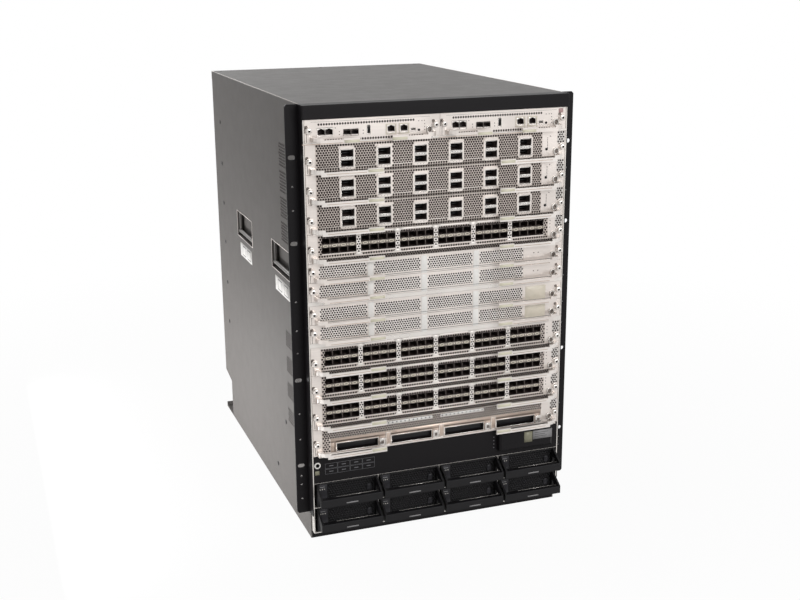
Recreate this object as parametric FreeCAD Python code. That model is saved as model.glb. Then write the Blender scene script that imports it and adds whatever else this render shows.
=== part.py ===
"""Modular chassis switch: a 16-unit rack chassis with plug-in cards, power supplies and fans.

Units are millimetres. X runs to the right seen from the front, Y runs to the back and Z runs up.
The origin is on the floor, under the middle of the side panels. Every function returns the
solids of one sub-part in place, and main() writes each of them to parts/NODE.step.
"""
import FreeCAD
import Part
import math
import os

V = FreeCAD.Vector

# Whole chassis
RACK_UNIT = 44.45
STACK_GAP = 2.8
WIDTH = 442.0
DEPTH = 650.0
SHEET = 1.5
RUNNING_GAP = 0.3
NOSE = 14.0

# Rack ears
EAR_WIDTH = 20.3
EAR_PLATE = 2.5
EAR_SETBACK = 7.6
EAR_BOTTOM = RACK_UNIT
EAR_HOLE_INSET = 8.75
SLOT_HALF_WIDTH = 3.4
SLOT_LENGTH = 11.0
EAR_CORNER = 3.0
RACK_SLOTS = ((14, 6.35), (11, 6.35), (6, 6.35), (2, 38.1))
EAR_VENT_INSET = 8.8
EAR_VENT_RADIUS = 1.8
EAR_VENTS = (584.0, 547.0, 402.0, 355.0, 318.0, 216.0, 172.0, 109.0, 94.0, 69.0)

# Base tray
BASE_SHEET = 2.0
BASE_HEIGHT = 14.0
BASE_REAR_LIP = 10.0
BASE_OVERHANG = 6.0

# Rear recess round the mains inlets
RECESS_DEPTH = 53.0
RECESS_TOP = 86.0
RECESS_DROP = 10.0

# Card slots
LINE_PITCH = 45.72
FABRIC_PITCH = 30.5
CONTROL_HEIGHT = 34.8
CARD_ZONE_BOTTOM = 148.0
LOWER_DIVIDER = 7.2
MIDDLE_DIVIDER = 6.4
UPPER_DIVIDER = 2.6
LOWER_LINE_CARDS = 4
UPPER_LINE_CARDS = 4
FABRIC_PAIR = 2
DIVIDER_DEPTH = 12.0

# Cards
FACEPLATE = 2.0
FACE_SIDE_GAP = 1.0
FACE_JOINT_GAP = 0.6
PATTERN_GAP = 2.0
CARD_BODY_INSET = 13.0
CARD_DEPTH = 390.0
TRAY_LIP = 11.0
BOARD_THICKNESS = 2.4
BOARD_LIFT = 5.0
BOARD_INSET = 3.0
HEAT_SINK_HEIGHT = 16.0
HEAT_SINK_WIDTH = 70.0
HEAT_SINK_LENGTH = 80.0
HEAT_SINK_SETBACK = 150.0
HEAT_SINK_HEADROOM = 4.0
CONNECTOR_DEPTH = 12.0
CONNECTOR_HEIGHT = 14.0
CONNECTOR_WIDTH = 80.0
RAIL_WIDTH = 24.0
RAIL_RISE = 1.0

# Captive screws
SCREW_RADIUS = 4.2
SCREW_PROUD = 5.5
SCREW_FROM_EDGE = 6.0
SCREW_HEIGHT = 20.0
SCREW_HEIGHT_LOW = 18.5

# Ejector levers
LEVER_PIVOT_FROM_EDGE = 10.5
LEVER_STANDOFF = 4.6
LEVER_BEND = 9.5
LEVER_REACH = 109.0
CONTROL_LEVER_REACH = 72.0
LEVER_STRAP = 2.4
LEVER_HEIGHT = 6.4
LEVER_LIFT = 2.2
LEVER_DROP = 3.6
LEVER_STEP = 5.0
LEVER_EYE = 4.0
LEVER_PIN = 1.5
LEVER_TAB = 26.0
LEVER_TAB_GROWTH = 2.0
LUG_THICKNESS = 1.2
LUG_WIDTH = 8.0

# Optical ports
SMALL_PORT_WIDTH = 12.6
SMALL_PORT_HEIGHT = 8.6
SMALL_PORT_PITCH = 14.3
SMALL_PORT_DEPTH = 20.0
SMALL_PORT_ROWS = (14.8, 29.6)
PORT_GROUP_PITCH = 64.3
PORT_GROUP_CENTRE = -6.8
PORTS_PER_GROUP = 4
PORT_GROUPS = 6

WINDOW_WIDTH = 26.0
WINDOW_BOTTOM = 5.1
WINDOW_HEIGHT = 35.1
WINDOW_CORNER = 3.5
WINDOW_PROUD = 1.6
WINDOW_PITCH = 59.6
WINDOW_CENTRE = -2.9
WIDE_PORT_WIDTH = 20.0
WIDE_PORT_HEIGHT = 11.6
WIDE_PORT_DEPTH = 22.0
WIDE_PORT_ROWS = (4.0, 19.5)
LAMP_STRIP = 28.0

BAY_WIDTH = 70.4
BAY_HEIGHT = 13.6
BAY_BOTTOM = 5.4
BAY_DEPTH = 60.0
BAY_PITCH = 93.7
BAY_CENTRE = 3.0
BAY_WALL = 2.0
BAY_FRAME_PROUD = 1.5
BAY_COUNT = 4
LATCH_WIDTH = 10.0
LATCH_HEIGHT = 12.4
LATCH_PROUD = 3.5

# Fabric card vents
VENT_WIDTH = 79.0
VENT_HEIGHT = 21.4
VENT_BOTTOM = 5.6
VENT_RECESS = 0.8
VENT_PITCH = 89.9
VENT_CENTRE = -26.8
VENT_COUNT = 4

# Power supplies
SUPPLY_COLUMNS = 4
SUPPLY_SIDE_GAP = 4.0
SUPPLY_HEIGHT = 41.0
SUPPLY_DEPTH = 300.0
SUPPLY_SHELF = 1.2
SUPPLY_GAP = 0.4
HANDLE_REACH = 27.0
HANDLE_BAR_DEPTH = 9.0
HANDLE_BAR_HEIGHT = 13.0
HANDLE_BAR_LIFT = 10.5
HANDLE_ARM = 3.0
HANDLE_ARM_ROOT = 15.0
SUPPLY_STRIP = 19.0
SUPPLY_RECESS = 8.0
SUPPLY_RECESS_BOTTOM = 7.0
SUPPLY_RECESS_RIM = 2.5
SUPPLY_RECESS_CORNER = 8.0

# Power panel and its cover box
JACK_RADIUS = 4.4
JACK_BORE = 2.2
JACK_PROUD = 1.2
JACK_FROM_EDGE = 6.5
JACK_HEIGHT = 132.6
PANEL_RETURN = 12.0
COVER_FROM_EDGE = 15.0
COVER_WIDTH = 98.0
COVER_BOTTOM = 113.0
COVER_HEIGHT = 33.0
COVER_PROUD = 13.0
COVER_CHAMFER = 3.0

# Boards behind the cards
MIDPLANE_GAP = 12.0
MIDPLANE_THICKNESS = 4.0
MIDPLANE_VENT = 12.0
HEADER_DEPTH = 9.0

# Top cover and bezel
COVER_LIP = 14.0
BEZEL_PROUD = 4.0
BEZEL_WALL = 2.0
BEZEL_FILLET = 1.5
BEZEL_LEAST_HEIGHT = 12.0

# Lift handles in the side panels
POCKET_LENGTH = 120.0
POCKET_HEIGHT = 47.0
POCKET_DEPTH = 11.0
POCKET_LEVEL = 438.5
POCKET_FROM_FRONT = 141.0
POCKET_FROM_REAR = 242.0
POCKET_WINDOW_GAP = 0.4
BAIL_ARM_WIDTH = 8.0
BAIL_ARM_THICKNESS = 3.0
BAIL_GRIP_RADIUS = 3.4
BAIL_END_GAP = 1.0
BAIL_PIVOT_DROP = 6.0
BAIL_DROP = 33.0
BAIL_PIN = 1.5

# Fan trays
FAN_TRAYS = 2
FAN_TRAY_SIDE_GAP = 4.0
FAN_TRAY_DEPTH = 150.0
FAN_TRAY_PLATE = 2.0
FAN_TRAY_GAP = 1.2
FAN_TRAY_WINDOW_RIM = 2.0
FAN_TIP_GAP = 4.0
FAN_RING_GAP = 12.0
FAN_DEPTH = 46.0
FAN_HUB = 36.0
FAN_BLADES = 7
FAN_BLADE_ROOT_PITCH = 52.0
FAN_BLADE_TIP_PITCH = 28.0
FAN_BLADE_THICKNESS = 2.4
FAN_BLADE_CHORD = 46.0
FAN_SHAFT = 5.0
FAN_SETBACK = 18.0
STRUT_WIDTH = 10.0
GUARD_CAP = 34.0
GUARD_RING = 3.5
GUARD_GAPS = 2
GUARD_SPOKES = 6
GUARD_SPOKE_WIDTH = 4.0
GUARD_SLOT_POINTS = 4
TRAY_HANDLE_WIDTH = 110.0
TRAY_HANDLE_REACH = 20.0
TRAY_HANDLE_BAR = 4.0
TRAY_HANDLE_BEND = 11.0

# Mains inlets
INLET_WIDTH = 34.0
INLET_HEIGHT = 25.0
INLET_PROUD = 4.0
INLET_SOCKET_WIDTH = 26.0
INLET_SOCKET_HEIGHT = 17.0
INLET_SOCKET_DEPTH = 16.0
INLET_ROW_PITCH = 32.0
GROUND_HOLE = 3.3
GROUND_SPACING = 16.0
GROUND_FROM_EDGE = 31.0
GROUND_Z = 118.0

# Places worked out from the sizes above
HALF = WIDTH / 2
EAR_OUT = HALF + EAR_WIDTH
RACK_HOLE_SPAN = 2 * (EAR_OUT - EAR_HOLE_INSET)
FRONT = -DEPTH / 2
REAR = DEPTH / 2
FACE = FRONT - NOSE
PANEL_IN = HALF - SHEET
CAGE_IN = PANEL_IN - SHEET
EAR_FACE = FRONT + EAR_SETBACK
EAR_BACK = EAR_FACE + EAR_PLATE
CARD_BACK = FACE + CARD_DEPTH
MIDPLANE = CARD_BACK + MIDPLANE_GAP
FLANGE_FACE = FACE + FACEPLATE + RUNNING_GAP
RECESS_WALL = REAR - RECESS_DEPTH
BODY_HALF = CAGE_IN - FACE_SIDE_GAP - CARD_BODY_INSET
FACE_HALF = CAGE_IN - FACE_SIDE_GAP

LOWER_LINES_TOP = CARD_ZONE_BOTTOM + LOWER_LINE_CARDS * LINE_PITCH
LOWER_FABRIC = LOWER_LINES_TOP + LOWER_DIVIDER
LOWER_FABRIC_TOP = LOWER_FABRIC + FABRIC_PAIR * FABRIC_PITCH
UPPER_FABRIC = LOWER_FABRIC_TOP + MIDDLE_DIVIDER
UPPER_LINES = UPPER_FABRIC + FABRIC_PAIR * FABRIC_PITCH
UPPER_LINES_TOP = UPPER_LINES + UPPER_LINE_CARDS * LINE_PITCH
CONTROL_BOTTOM = UPPER_LINES_TOP + UPPER_DIVIDER
CARD_ZONE_TOP = CONTROL_BOTTOM + CONTROL_HEIGHT
RACK_UNITS = math.ceil((CARD_ZONE_TOP + BEZEL_LEAST_HEIGHT + STACK_GAP) / RACK_UNIT)
HEIGHT = RACK_UNITS * RACK_UNIT - STACK_GAP
TOP_UNDER = HEIGHT - SHEET

SUPPLY_FLOOR = BASE_HEIGHT + SHEET
LOWER_SUPPLY = SUPPLY_FLOOR + SUPPLY_GAP
UPPER_SUPPLY = LOWER_SUPPLY + SUPPLY_HEIGHT + SUPPLY_SHELF + 2 * SUPPLY_GAP
SUPPLY_ROOF = UPPER_SUPPLY + SUPPLY_HEIGHT + SUPPLY_GAP
SUPPLY_BACK = FACE + SUPPLY_DEPTH

SUPPLY_WIDTH = (2 * CAGE_IN - (SUPPLY_COLUMNS + 1) * SUPPLY_SIDE_GAP) / SUPPLY_COLUMNS
SUPPLY_PITCH = SUPPLY_WIDTH + SUPPLY_SIDE_GAP
COVER_LEFT = CAGE_IN - COVER_FROM_EDGE - COVER_WIDTH

FAN_ZONE = (CARD_ZONE_TOP - CARD_ZONE_BOTTOM) / FAN_TRAYS
FAN_TRAY_WIDTH = 2 * (CAGE_IN - FAN_TRAY_SIDE_GAP)
FAN_RADIUS = (FAN_TRAY_WIDTH - 3 * FAN_RING_GAP) / 4 - FAN_TIP_GAP
FAN_SPREAD = FAN_RADIUS + FAN_TIP_GAP + FAN_RING_GAP / 2


def line_slots():
    """Bottoms of the eight line card slots, card 1 at the top."""
    upper = [UPPER_LINES_TOP - (n + 1) * LINE_PITCH for n in range(UPPER_LINE_CARDS)]
    lower = [LOWER_LINES_TOP - (n + 1) * LINE_PITCH for n in range(LOWER_LINE_CARDS)]
    return upper + lower


def fabric_slots():
    """Bottoms of the four fabric card slots, card 1 at the top."""
    upper = [UPPER_LINES - (n + 1) * FABRIC_PITCH for n in range(FABRIC_PAIR)]
    lower = [LOWER_FABRIC_TOP - (n + 1) * FABRIC_PITCH for n in range(FABRIC_PAIR)]
    return upper + lower


def spread(count, pitch, centre=0.0):
    """Centres of a row of equal parts."""
    return [centre + (n - (count - 1) / 2) * pitch for n in range(count)]


def row_on_card(count, pitch, centre, width, margin=0.0):
    """Centres of a row on a full-width card: as many of its equal parts as clear the screws."""
    clear = FACE_HALF - SCREW_FROM_EDGE - SCREW_RADIUS - PATTERN_GAP - margin
    room = 2 * (clear - abs(centre)) - width
    return spread(min(count, int(room // pitch) + 1), pitch, centre)


# Solids from simple outlines

def block(x0, x1, y0, y1, z0, z1):
    """Box between two corners."""
    return Part.makeBox(x1 - x0, y1 - y0, z1 - z0, V(x0, y0, z0))


def prism(points, direction):
    """Straight extrusion of a closed flat outline."""
    closed = [V(*p) for p in points]
    return Part.Face(Part.makePolygon(closed + closed[:1])).extrude(V(*direction))


def side_profile(points, x0, x1):
    """Extrusion along X of an outline given as (y, z) pairs."""
    return prism([(x0, y, z) for y, z in points], (x1 - x0, 0, 0))


def front_profile(points, y0, y1):
    """Extrusion along Y of an outline given as (x, z) pairs."""
    return prism([(x, y0, z) for x, z in points], (0, y1 - y0, 0))


def rod(radius, start, end):
    """Round bar between two points."""
    axis = V(*end) - V(*start)
    return Part.makeCylinder(radius, axis.Length, V(*start), axis)


def union(solids):
    """One solid from solids that share faces or overlap."""
    return solids[0].fuse(solids[1:]).removeSplitter()


def mirrored(shape):
    """Copy on the other side of the chassis."""
    return shape.mirror(V(0, 0, 0), V(1, 0, 0))


def clipped_rectangle(x0, x1, z0, z1, corner):
    """Outline of a rectangle with cut corners, as (x, z) pairs."""
    return [(x0 + corner, z0), (x1 - corner, z0), (x1, z0 + corner), (x1, z1 - corner),
            (x1 - corner, z1), (x0 + corner, z1), (x0, z1 - corner), (x0, z0 + corner)]


# Enclosure

def base_tray():
    """Folded floor tray with a lip on each side and a flange past the back."""
    back = REAR + BASE_OVERHANG
    floor = block(-HALF, HALF, FRONT, back, 0, BASE_SHEET)
    lip_out = PANEL_IN - RUNNING_GAP
    front_lip = block(-lip_out, lip_out, FRONT, FRONT + BASE_SHEET, 0, BASE_HEIGHT)
    side_lip = block(lip_out - BASE_SHEET, lip_out, FRONT, RECESS_WALL, 0, BASE_HEIGHT)
    rear_lip = block(-HALF, HALF, back - BASE_SHEET, back, 0, BASE_REAR_LIP)
    return union([floor, front_lip, side_lip, mirrored(side_lip), rear_lip])


def pocket_spans():
    """Front and back of each lift handle pocket."""
    middles = [FRONT + POCKET_FROM_FRONT, REAR - POCKET_FROM_REAR]
    return [(middle - POCKET_LENGTH / 2, middle + POCKET_LENGTH / 2) for middle in middles]


POCKET_LOW = POCKET_LEVEL - POCKET_HEIGHT / 2
POCKET_HIGH = POCKET_LEVEL + POCKET_HEIGHT / 2
POCKET_FLOOR = HALF - POCKET_DEPTH


def right_side_panel():
    """Side sheet with a toe under the ear, a stepped back edge and two dished pockets."""
    outline = [(FRONT, BASE_SHEET), (RECESS_WALL, BASE_SHEET),
               (RECESS_WALL, RECESS_TOP - RECESS_DROP), (REAR, RECESS_TOP), (REAR, TOP_UNDER),
               (EAR_BACK, TOP_UNDER), (EAR_BACK, EAR_BOTTOM), (FRONT, EAR_BOTTOM)]
    sheet = side_profile(outline, PANEL_IN, HALF)
    dishes = []
    hollows = []
    for front, back in pocket_spans():
        dishes.append(block(POCKET_FLOOR - SHEET, HALF, front - SHEET, back + SHEET,
                            POCKET_LOW - SHEET, POCKET_HIGH + SHEET))
        hollows.append(block(POCKET_FLOOR, HALF + 1, front, back, POCKET_LOW, POCKET_HIGH))
        hollows += bail_pin_holes(front, back)
    return union([sheet] + dishes).cut(hollows)


def bail_pivot():
    """X and Z of the axis that a right-hand bail swings on."""
    return HALF - BAIL_GRIP_RADIUS - SHEET, POCKET_HIGH - BAIL_PIVOT_DROP


def bail_pin_holes(front, back):
    """Holes in the pocket's end walls that take the bail's pins."""
    x, z = bail_pivot()
    radius = BAIL_PIN + RUNNING_GAP
    return [rod(radius, (x, front - SHEET - 1, z), (x, front + 1, z)),
            rod(radius, (x, back - 1, z), (x, back + SHEET + 1, z))]


def right_bail(front, back):
    """Swing-out lifting bail: two flat arms, a round grip and two pins."""
    x, z = bail_pivot()
    y0 = front + BAIL_END_GAP
    y1 = back - BAIL_END_GAP
    low = z - BAIL_DROP
    half = BAIL_ARM_THICKNESS / 2
    arms = [block(x - half, x + half, start, start + BAIL_ARM_WIDTH, low, z + BAIL_GRIP_RADIUS)
            for start in (y0, y1 - BAIL_ARM_WIDTH)]
    grip = rod(BAIL_GRIP_RADIUS, (x, y0, low), (x, y1, low))
    pins = rod(BAIL_PIN, (x, y0 - BAIL_END_GAP - SHEET, z), (x, y0 + 1, z))
    far_pin = rod(BAIL_PIN, (x, y1 - 1, z), (x, y1 + BAIL_END_GAP + SHEET, z))
    return union(arms + [grip, pins, far_pin])


def top_cover():
    """Flat cover over the cage with a turned-down lip at the back."""
    plate = block(-HALF, HALF, EAR_FACE, REAR, TOP_UNDER, HEIGHT)
    lip = block(-HALF, HALF, REAR, REAR + SHEET, TOP_UNDER - COVER_LIP, HEIGHT)
    return union([plate, lip])


def top_bezel():
    """Black cap over the top edge of the cage, hollow from behind."""
    front = FACE - BEZEL_PROUD
    body = block(-HALF, HALF, front, EAR_FACE, CARD_ZONE_TOP, HEIGHT)
    edges = [e for e in body.Edges if e.BoundBox.YMax < front + 0.01]
    body = body.makeFillet(BEZEL_FILLET, edges)
    hollow = block(-HALF + BEZEL_WALL, HALF - BEZEL_WALL, front + BEZEL_WALL, EAR_FACE + 1,
                   CARD_ZONE_TOP + SHEET, HEIGHT - BEZEL_WALL)
    wall_notch = block(CAGE_IN, PANEL_IN, FACE, EAR_FACE + 1, CARD_ZONE_TOP, CARD_ZONE_TOP + SHEET)
    shelf_notch = block(-CAGE_IN, CAGE_IN, FACE, EAR_FACE + 1, CARD_ZONE_TOP, CARD_ZONE_TOP + SHEET)
    return body.cut([hollow, wall_notch, mirrored(wall_notch), shelf_notch])


def slot_cutter(z):
    """Rounded slot through a right-hand ear, longer across than high."""
    x = RACK_HOLE_SPAN / 2
    reach = SLOT_LENGTH / 2 - SLOT_HALF_WIDTH
    y0 = EAR_FACE - 1
    y1 = EAR_BACK + 1
    ends = [rod(SLOT_HALF_WIDTH, (x + d, y0, z), (x + d, y1, z)) for d in (-reach, reach)]
    middle = block(x - reach, x + reach, y0, y1, z - SLOT_HALF_WIDTH, z + SLOT_HALF_WIDTH)
    return union(ends + [middle])


def vent_cutter(z):
    """Small six-sided hole through a right-hand ear."""
    x = EAR_OUT - EAR_VENT_INSET
    corners = []
    for n in range(6):
        angle = math.radians(60 * n)
        corners.append((x + EAR_VENT_RADIUS * math.cos(angle), z + EAR_VENT_RADIUS * math.sin(angle)))
    return front_profile(corners, EAR_FACE - 1, EAR_BACK + 1)


def right_rack_ear():
    """Angle bracket: a pierced plate outside the chassis and a flange along its nose."""
    out = EAR_OUT
    outline = [(PANEL_IN, EAR_BOTTOM), (out - EAR_CORNER, EAR_BOTTOM),
               (out, EAR_BOTTOM + EAR_CORNER), (out, HEIGHT - EAR_CORNER),
               (out - EAR_CORNER, HEIGHT), (HALF, HEIGHT), (HALF, TOP_UNDER), (PANEL_IN, TOP_UNDER)]
    plate = front_profile(outline, EAR_FACE, EAR_BACK)
    flange = block(PANEL_IN, HALF, FACE, EAR_BACK, EAR_BOTTOM, CARD_ZONE_TOP)
    slots = [slot_cutter(unit * RACK_UNIT + rise) for unit, rise in RACK_SLOTS]
    return union([plate, flange]).cut(slots + [vent_cutter(z) for z in EAR_VENTS])


# Card cage

def cage_wall():
    """Right-hand wall of the cage, open where the lift handle pockets come through."""
    outline = [(FACE, BASE_HEIGHT), (RECESS_WALL - SHEET, BASE_HEIGHT),
               (RECESS_WALL - SHEET, RECESS_TOP - RECESS_DROP + SHEET),
               (REAR - SHEET, RECESS_TOP + SHEET), (REAR - SHEET, TOP_UNDER),
               (EAR_FACE, TOP_UNDER), (EAR_FACE, CARD_ZONE_TOP + SHEET),
               (FACE, CARD_ZONE_TOP + SHEET)]
    return side_profile(outline, CAGE_IN, PANEL_IN)


def card_guides():
    """Separate rails on both walls that carry the cards and the fan trays.

    A rail that runs behind the lift handle pockets is narrower and starts at the flange alone.
    """
    inner = CAGE_IN - RAIL_WIDTH
    room = SHEET + POCKET_WINDOW_GAP
    guides = []
    for z in line_slots() + fabric_slots() + [CONTROL_BOTTOM]:
        beside = POCKET_LOW - room < z + RAIL_RISE and z < POCKET_HIGH + room
        outer = POCKET_FLOOR - room if beside else CAGE_IN
        guides.append(block(inner, outer, FLANGE_FACE + SHEET, MIDPLANE, z, z + RAIL_RISE))
    tray_front = REAR - FAN_TRAY_DEPTH
    for n in range(FAN_TRAYS):
        z = CARD_ZONE_BOTTOM + n * FAN_ZONE
        guides.append(block(inner, CAGE_IN, tray_front, REAR - SHEET, z - SHEET, z))
    return Part.makeCompound(guides + [mirrored(guide) for guide in guides])


def cage_flanges():
    """Right-hand flanges: four lengths for the card screws and one under the cover."""
    inner = CAGE_IN - CARD_BODY_INSET
    spans = ((CARD_ZONE_BOTTOM, LOWER_LINES_TOP), (LOWER_FABRIC, LOWER_FABRIC_TOP),
             (UPPER_FABRIC, UPPER_LINES_TOP), (CONTROL_BOTTOM, CARD_ZONE_TOP))
    flanges = [block(inner, CAGE_IN, FLANGE_FACE, FLANGE_FACE + SHEET, low, high)
               for low, high in spans]
    flanges.append(block(inner, CAGE_IN, EAR_FACE, REAR - SHEET, TOP_UNDER - SHEET, TOP_UNDER))
    return flanges


def cross_sheets():
    """Sheets and dividers that cross the whole cage."""
    w = CAGE_IN
    sheets = [
        block(-w, w, FACE, RECESS_WALL - SHEET, BASE_HEIGHT, SUPPLY_FLOOR),
        block(-w, w, FACE + SHEET, SUPPLY_BACK, UPPER_SUPPLY - SUPPLY_GAP - SUPPLY_SHELF,
              UPPER_SUPPLY - SUPPLY_GAP),
        block(-w, w, FACE + SHEET, SUPPLY_BACK, SUPPLY_ROOF, SUPPLY_ROOF + SUPPLY_SHELF),
        block(-w, w, FACE + SHEET, MIDPLANE, CARD_ZONE_BOTTOM - SHEET, CARD_ZONE_BOTTOM),
        block(-w, w, FACE, MIDPLANE, CARD_ZONE_TOP, CARD_ZONE_TOP + SHEET)]
    for low, high in ((LOWER_LINES_TOP, LOWER_FABRIC), (LOWER_FABRIC_TOP, UPPER_FABRIC),
                      (UPPER_LINES_TOP, CONTROL_BOTTOM)):
        sheets.append(block(-w, w, FACE, FACE + DIVIDER_DEPTH, low, high))
    return sheets


def supply_dividers():
    """Upright sheets between the columns of power supplies, above and below the middle shelf."""
    half = SUPPLY_SHELF / 2
    shelf = UPPER_SUPPLY - SUPPLY_GAP
    return [block(x - half, x + half, FACE + SHEET, SUPPLY_BACK, low, high)
            for x in spread(SUPPLY_COLUMNS - 1, SUPPLY_PITCH)
            for low, high in ((SUPPLY_FLOOR, shelf - SUPPLY_SHELF), (shelf, SUPPLY_ROOF))]


def control_partition():
    """Rail between the two control cards and an upright sheet that stands on it."""
    half = SHEET / 2
    foot = CONTROL_BOTTOM + RAIL_RISE
    return [block(-half, half, FLANGE_FACE, MIDPLANE, foot, CARD_ZONE_TOP),
            block(-CARD_BODY_INSET, CARD_BODY_INSET, FLANGE_FACE, MIDPLANE, CONTROL_BOTTOM, foot)]


def cage_shelves():
    """Shelves, dividers and flanges between the cage walls, each a sheet of its own."""
    flanges = cage_flanges()
    return Part.makeCompound(cross_sheets() + flanges + [mirrored(f) for f in flanges]
                             + supply_dividers() + control_partition())


def card_cage():
    """Both walls of the cage."""
    wall = cage_wall()
    return Part.makeCompound([side.cut(pocket_windows()) for side in (wall, mirrored(wall))])


def pocket_windows():
    """Room for the lift handle pockets on both sides."""
    gap = SHEET + POCKET_WINDOW_GAP
    windows = [block(POCKET_FLOOR - gap, PANEL_IN + 1, front - gap, back + gap,
                     POCKET_LOW - gap, POCKET_HIGH + gap) for front, back in pocket_spans()]
    return windows + [mirrored(w) for w in windows]


def header_row(z, height):
    """Pair of connector headers for one card slot."""
    y0 = MIDPLANE - HEADER_DEPTH
    low = z + height / 2 - CONNECTOR_HEIGHT / 2
    right = block(MIDPLANE_VENT * 2, BODY_HALF - RAIL_WIDTH, y0, MIDPLANE, low,
                  low + CONNECTOR_HEIGHT)
    return [right, mirrored(right)]


def backplane_boards():
    """Signal board behind the cards and power board behind the supplies."""
    w = CAGE_IN - RUNNING_GAP
    board = block(-w, w, MIDPLANE, MIDPLANE + MIDPLANE_THICKNESS, CARD_ZONE_BOTTOM, CARD_ZONE_TOP)
    vent_out = w - MIDPLANE_VENT
    vent_in = vent_out - 2 * MIDPLANE_VENT
    slots = [block(vent_in, vent_out, MIDPLANE - 1, MIDPLANE + MIDPLANE_THICKNESS + 1, low, high)
             for low, high in ((CARD_ZONE_BOTTOM + LINE_PITCH, LOWER_LINES_TOP),
                               (UPPER_LINES, UPPER_LINES_TOP))]
    headers = []
    for z in line_slots():
        headers += header_row(z, LINE_PITCH)
    for z in fabric_slots():
        headers += header_row(z, FABRIC_PITCH)
    headers += header_row(CONTROL_BOTTOM, CONTROL_HEIGHT)
    slots += [mirrored(s) for s in slots]
    signal = union([board.cut(slots + pocket_windows())] + headers)
    power = block(-w, w, SUPPLY_BACK, SUPPLY_BACK + MIDPLANE_THICKNESS, SUPPLY_FLOOR, SUPPLY_ROOF)
    return Part.makeCompound([signal, power])


def power_panel():
    """Panel between the cards and the supplies, with a wrist strap jack and a cover box on it."""
    low = SUPPLY_ROOF + SUPPLY_SHELF
    high = CARD_ZONE_BOTTOM - SHEET
    w = CAGE_IN
    plate = block(-w, w, FACE, FACE + SHEET, low, CARD_ZONE_BOTTOM)
    returns = [block(-w, w, FACE, FACE + PANEL_RETURN, low, low + SHEET),
               block(-w, w, FACE, FACE + PANEL_RETURN, high - SHEET, high)]
    x = -w + JACK_FROM_EDGE
    ring = rod(JACK_RADIUS, (x, FACE - JACK_PROUD, JACK_HEIGHT), (x, FACE + PANEL_RETURN, JACK_HEIGHT))
    bore = rod(JACK_BORE, (x, FACE - JACK_PROUD - 1, JACK_HEIGHT),
               (x, FACE + PANEL_RETURN - SHEET, JACK_HEIGHT))
    panel = union([plate, ring] + returns).cut(bore)
    return Part.makeCompound([panel, power_cover()])


def power_cover():
    """Box over the power monitor, with chamfered front edges."""
    front = FACE - COVER_PROUD
    body = block(COVER_LEFT, COVER_LEFT + COVER_WIDTH, front, FACE, COVER_BOTTOM,
                 COVER_BOTTOM + COVER_HEIGHT)
    edges = [e for e in body.Edges if e.BoundBox.YMax < front + 0.01]
    return body.makeChamfer(COVER_CHAMFER, edges)


# Parts that every card has

def captive_screw(x, z):
    """Thumb screw on a card's face, its shank through the cage flange's plane."""
    return rod(SCREW_RADIUS, (x, FACE - SCREW_PROUD, z), (x, FACE, z))


def lever_bar(reach):
    """Lever without its eye, pivot at the origin: a bend in three flats, then a lower strap."""
    inner = LEVER_BEND - LEVER_STRAP / 2
    outer = LEVER_BEND + LEVER_STRAP / 2
    bend = [math.radians(180 + 30 * n) for n in range(4)]
    outside = [(LEVER_BEND + outer * math.cos(a), outer * math.sin(a), 0) for a in bend]
    inside = [(LEVER_BEND + inner * math.cos(a), inner * math.sin(a), 0) for a in reversed(bend)]
    step = LEVER_BEND + LEVER_STEP
    outline = outside + [(step, -outer, 0), (step, -inner, 0)] + inside
    return [prism(outline, (0, 0, LEVER_HEIGHT)),
            block(LEVER_BEND, reach, -outer, -inner, -LEVER_DROP, LEVER_HEIGHT - LEVER_DROP),
            block(reach - LEVER_TAB, reach, -outer, -inner, -LEVER_DROP,
                  LEVER_HEIGHT + LEVER_TAB_GROWTH - LEVER_DROP)]


def lever(reach):
    """Left-hand ejector lever with its pivot at the origin and its foot at z = 0."""
    eye = Part.makeCylinder(LEVER_EYE, LEVER_HEIGHT)
    bore = Part.makeCylinder(LEVER_PIN + RUNNING_GAP, LEVER_HEIGHT)
    return union([eye] + lever_bar(reach)).cut(bore)


def lever_place(edge, slot):
    """Pivot of a left-hand lever on a card whose left edge and slot bottom are given."""
    return V(edge + LEVER_PIVOT_FROM_EDGE, FACE - LEVER_STANDOFF, slot + LEVER_LIFT)


def placed_lever(edge, slot, reach):
    """Left-hand lever on its card."""
    part = lever(reach)
    part.translate(lever_place(edge, slot))
    return part


def lever_lugs(edge, slot):
    """Two lugs and a pin that hold a left-hand lever on the card's face."""
    p = lever_place(edge, slot)
    x0 = p.x - LUG_WIDTH / 2
    x1 = p.x + LUG_WIDTH / 2
    y0 = p.y - LEVER_EYE
    under = p.z - RUNNING_GAP
    over = p.z + LEVER_HEIGHT + RUNNING_GAP
    return [block(x0, x1, y0, FACE, under - LUG_THICKNESS, under),
            block(x0, x1, y0, FACE, over, over + LUG_THICKNESS),
            rod(LEVER_PIN, (p.x, p.y, under), (p.x, p.y, over))]


def fixed_lever(edge, slot, reach):
    """Left-hand lever of a card that carries its levers as one piece with it."""
    p = lever_place(edge, slot)
    root = block(p.x - LEVER_STRAP / 2, p.x + LEVER_STRAP / 2, p.y, FACE, p.z,
                 p.z + LEVER_HEIGHT)
    bar = lever_bar(reach)
    for part in bar:
        part.translate(p)
    return [root] + bar


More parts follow.
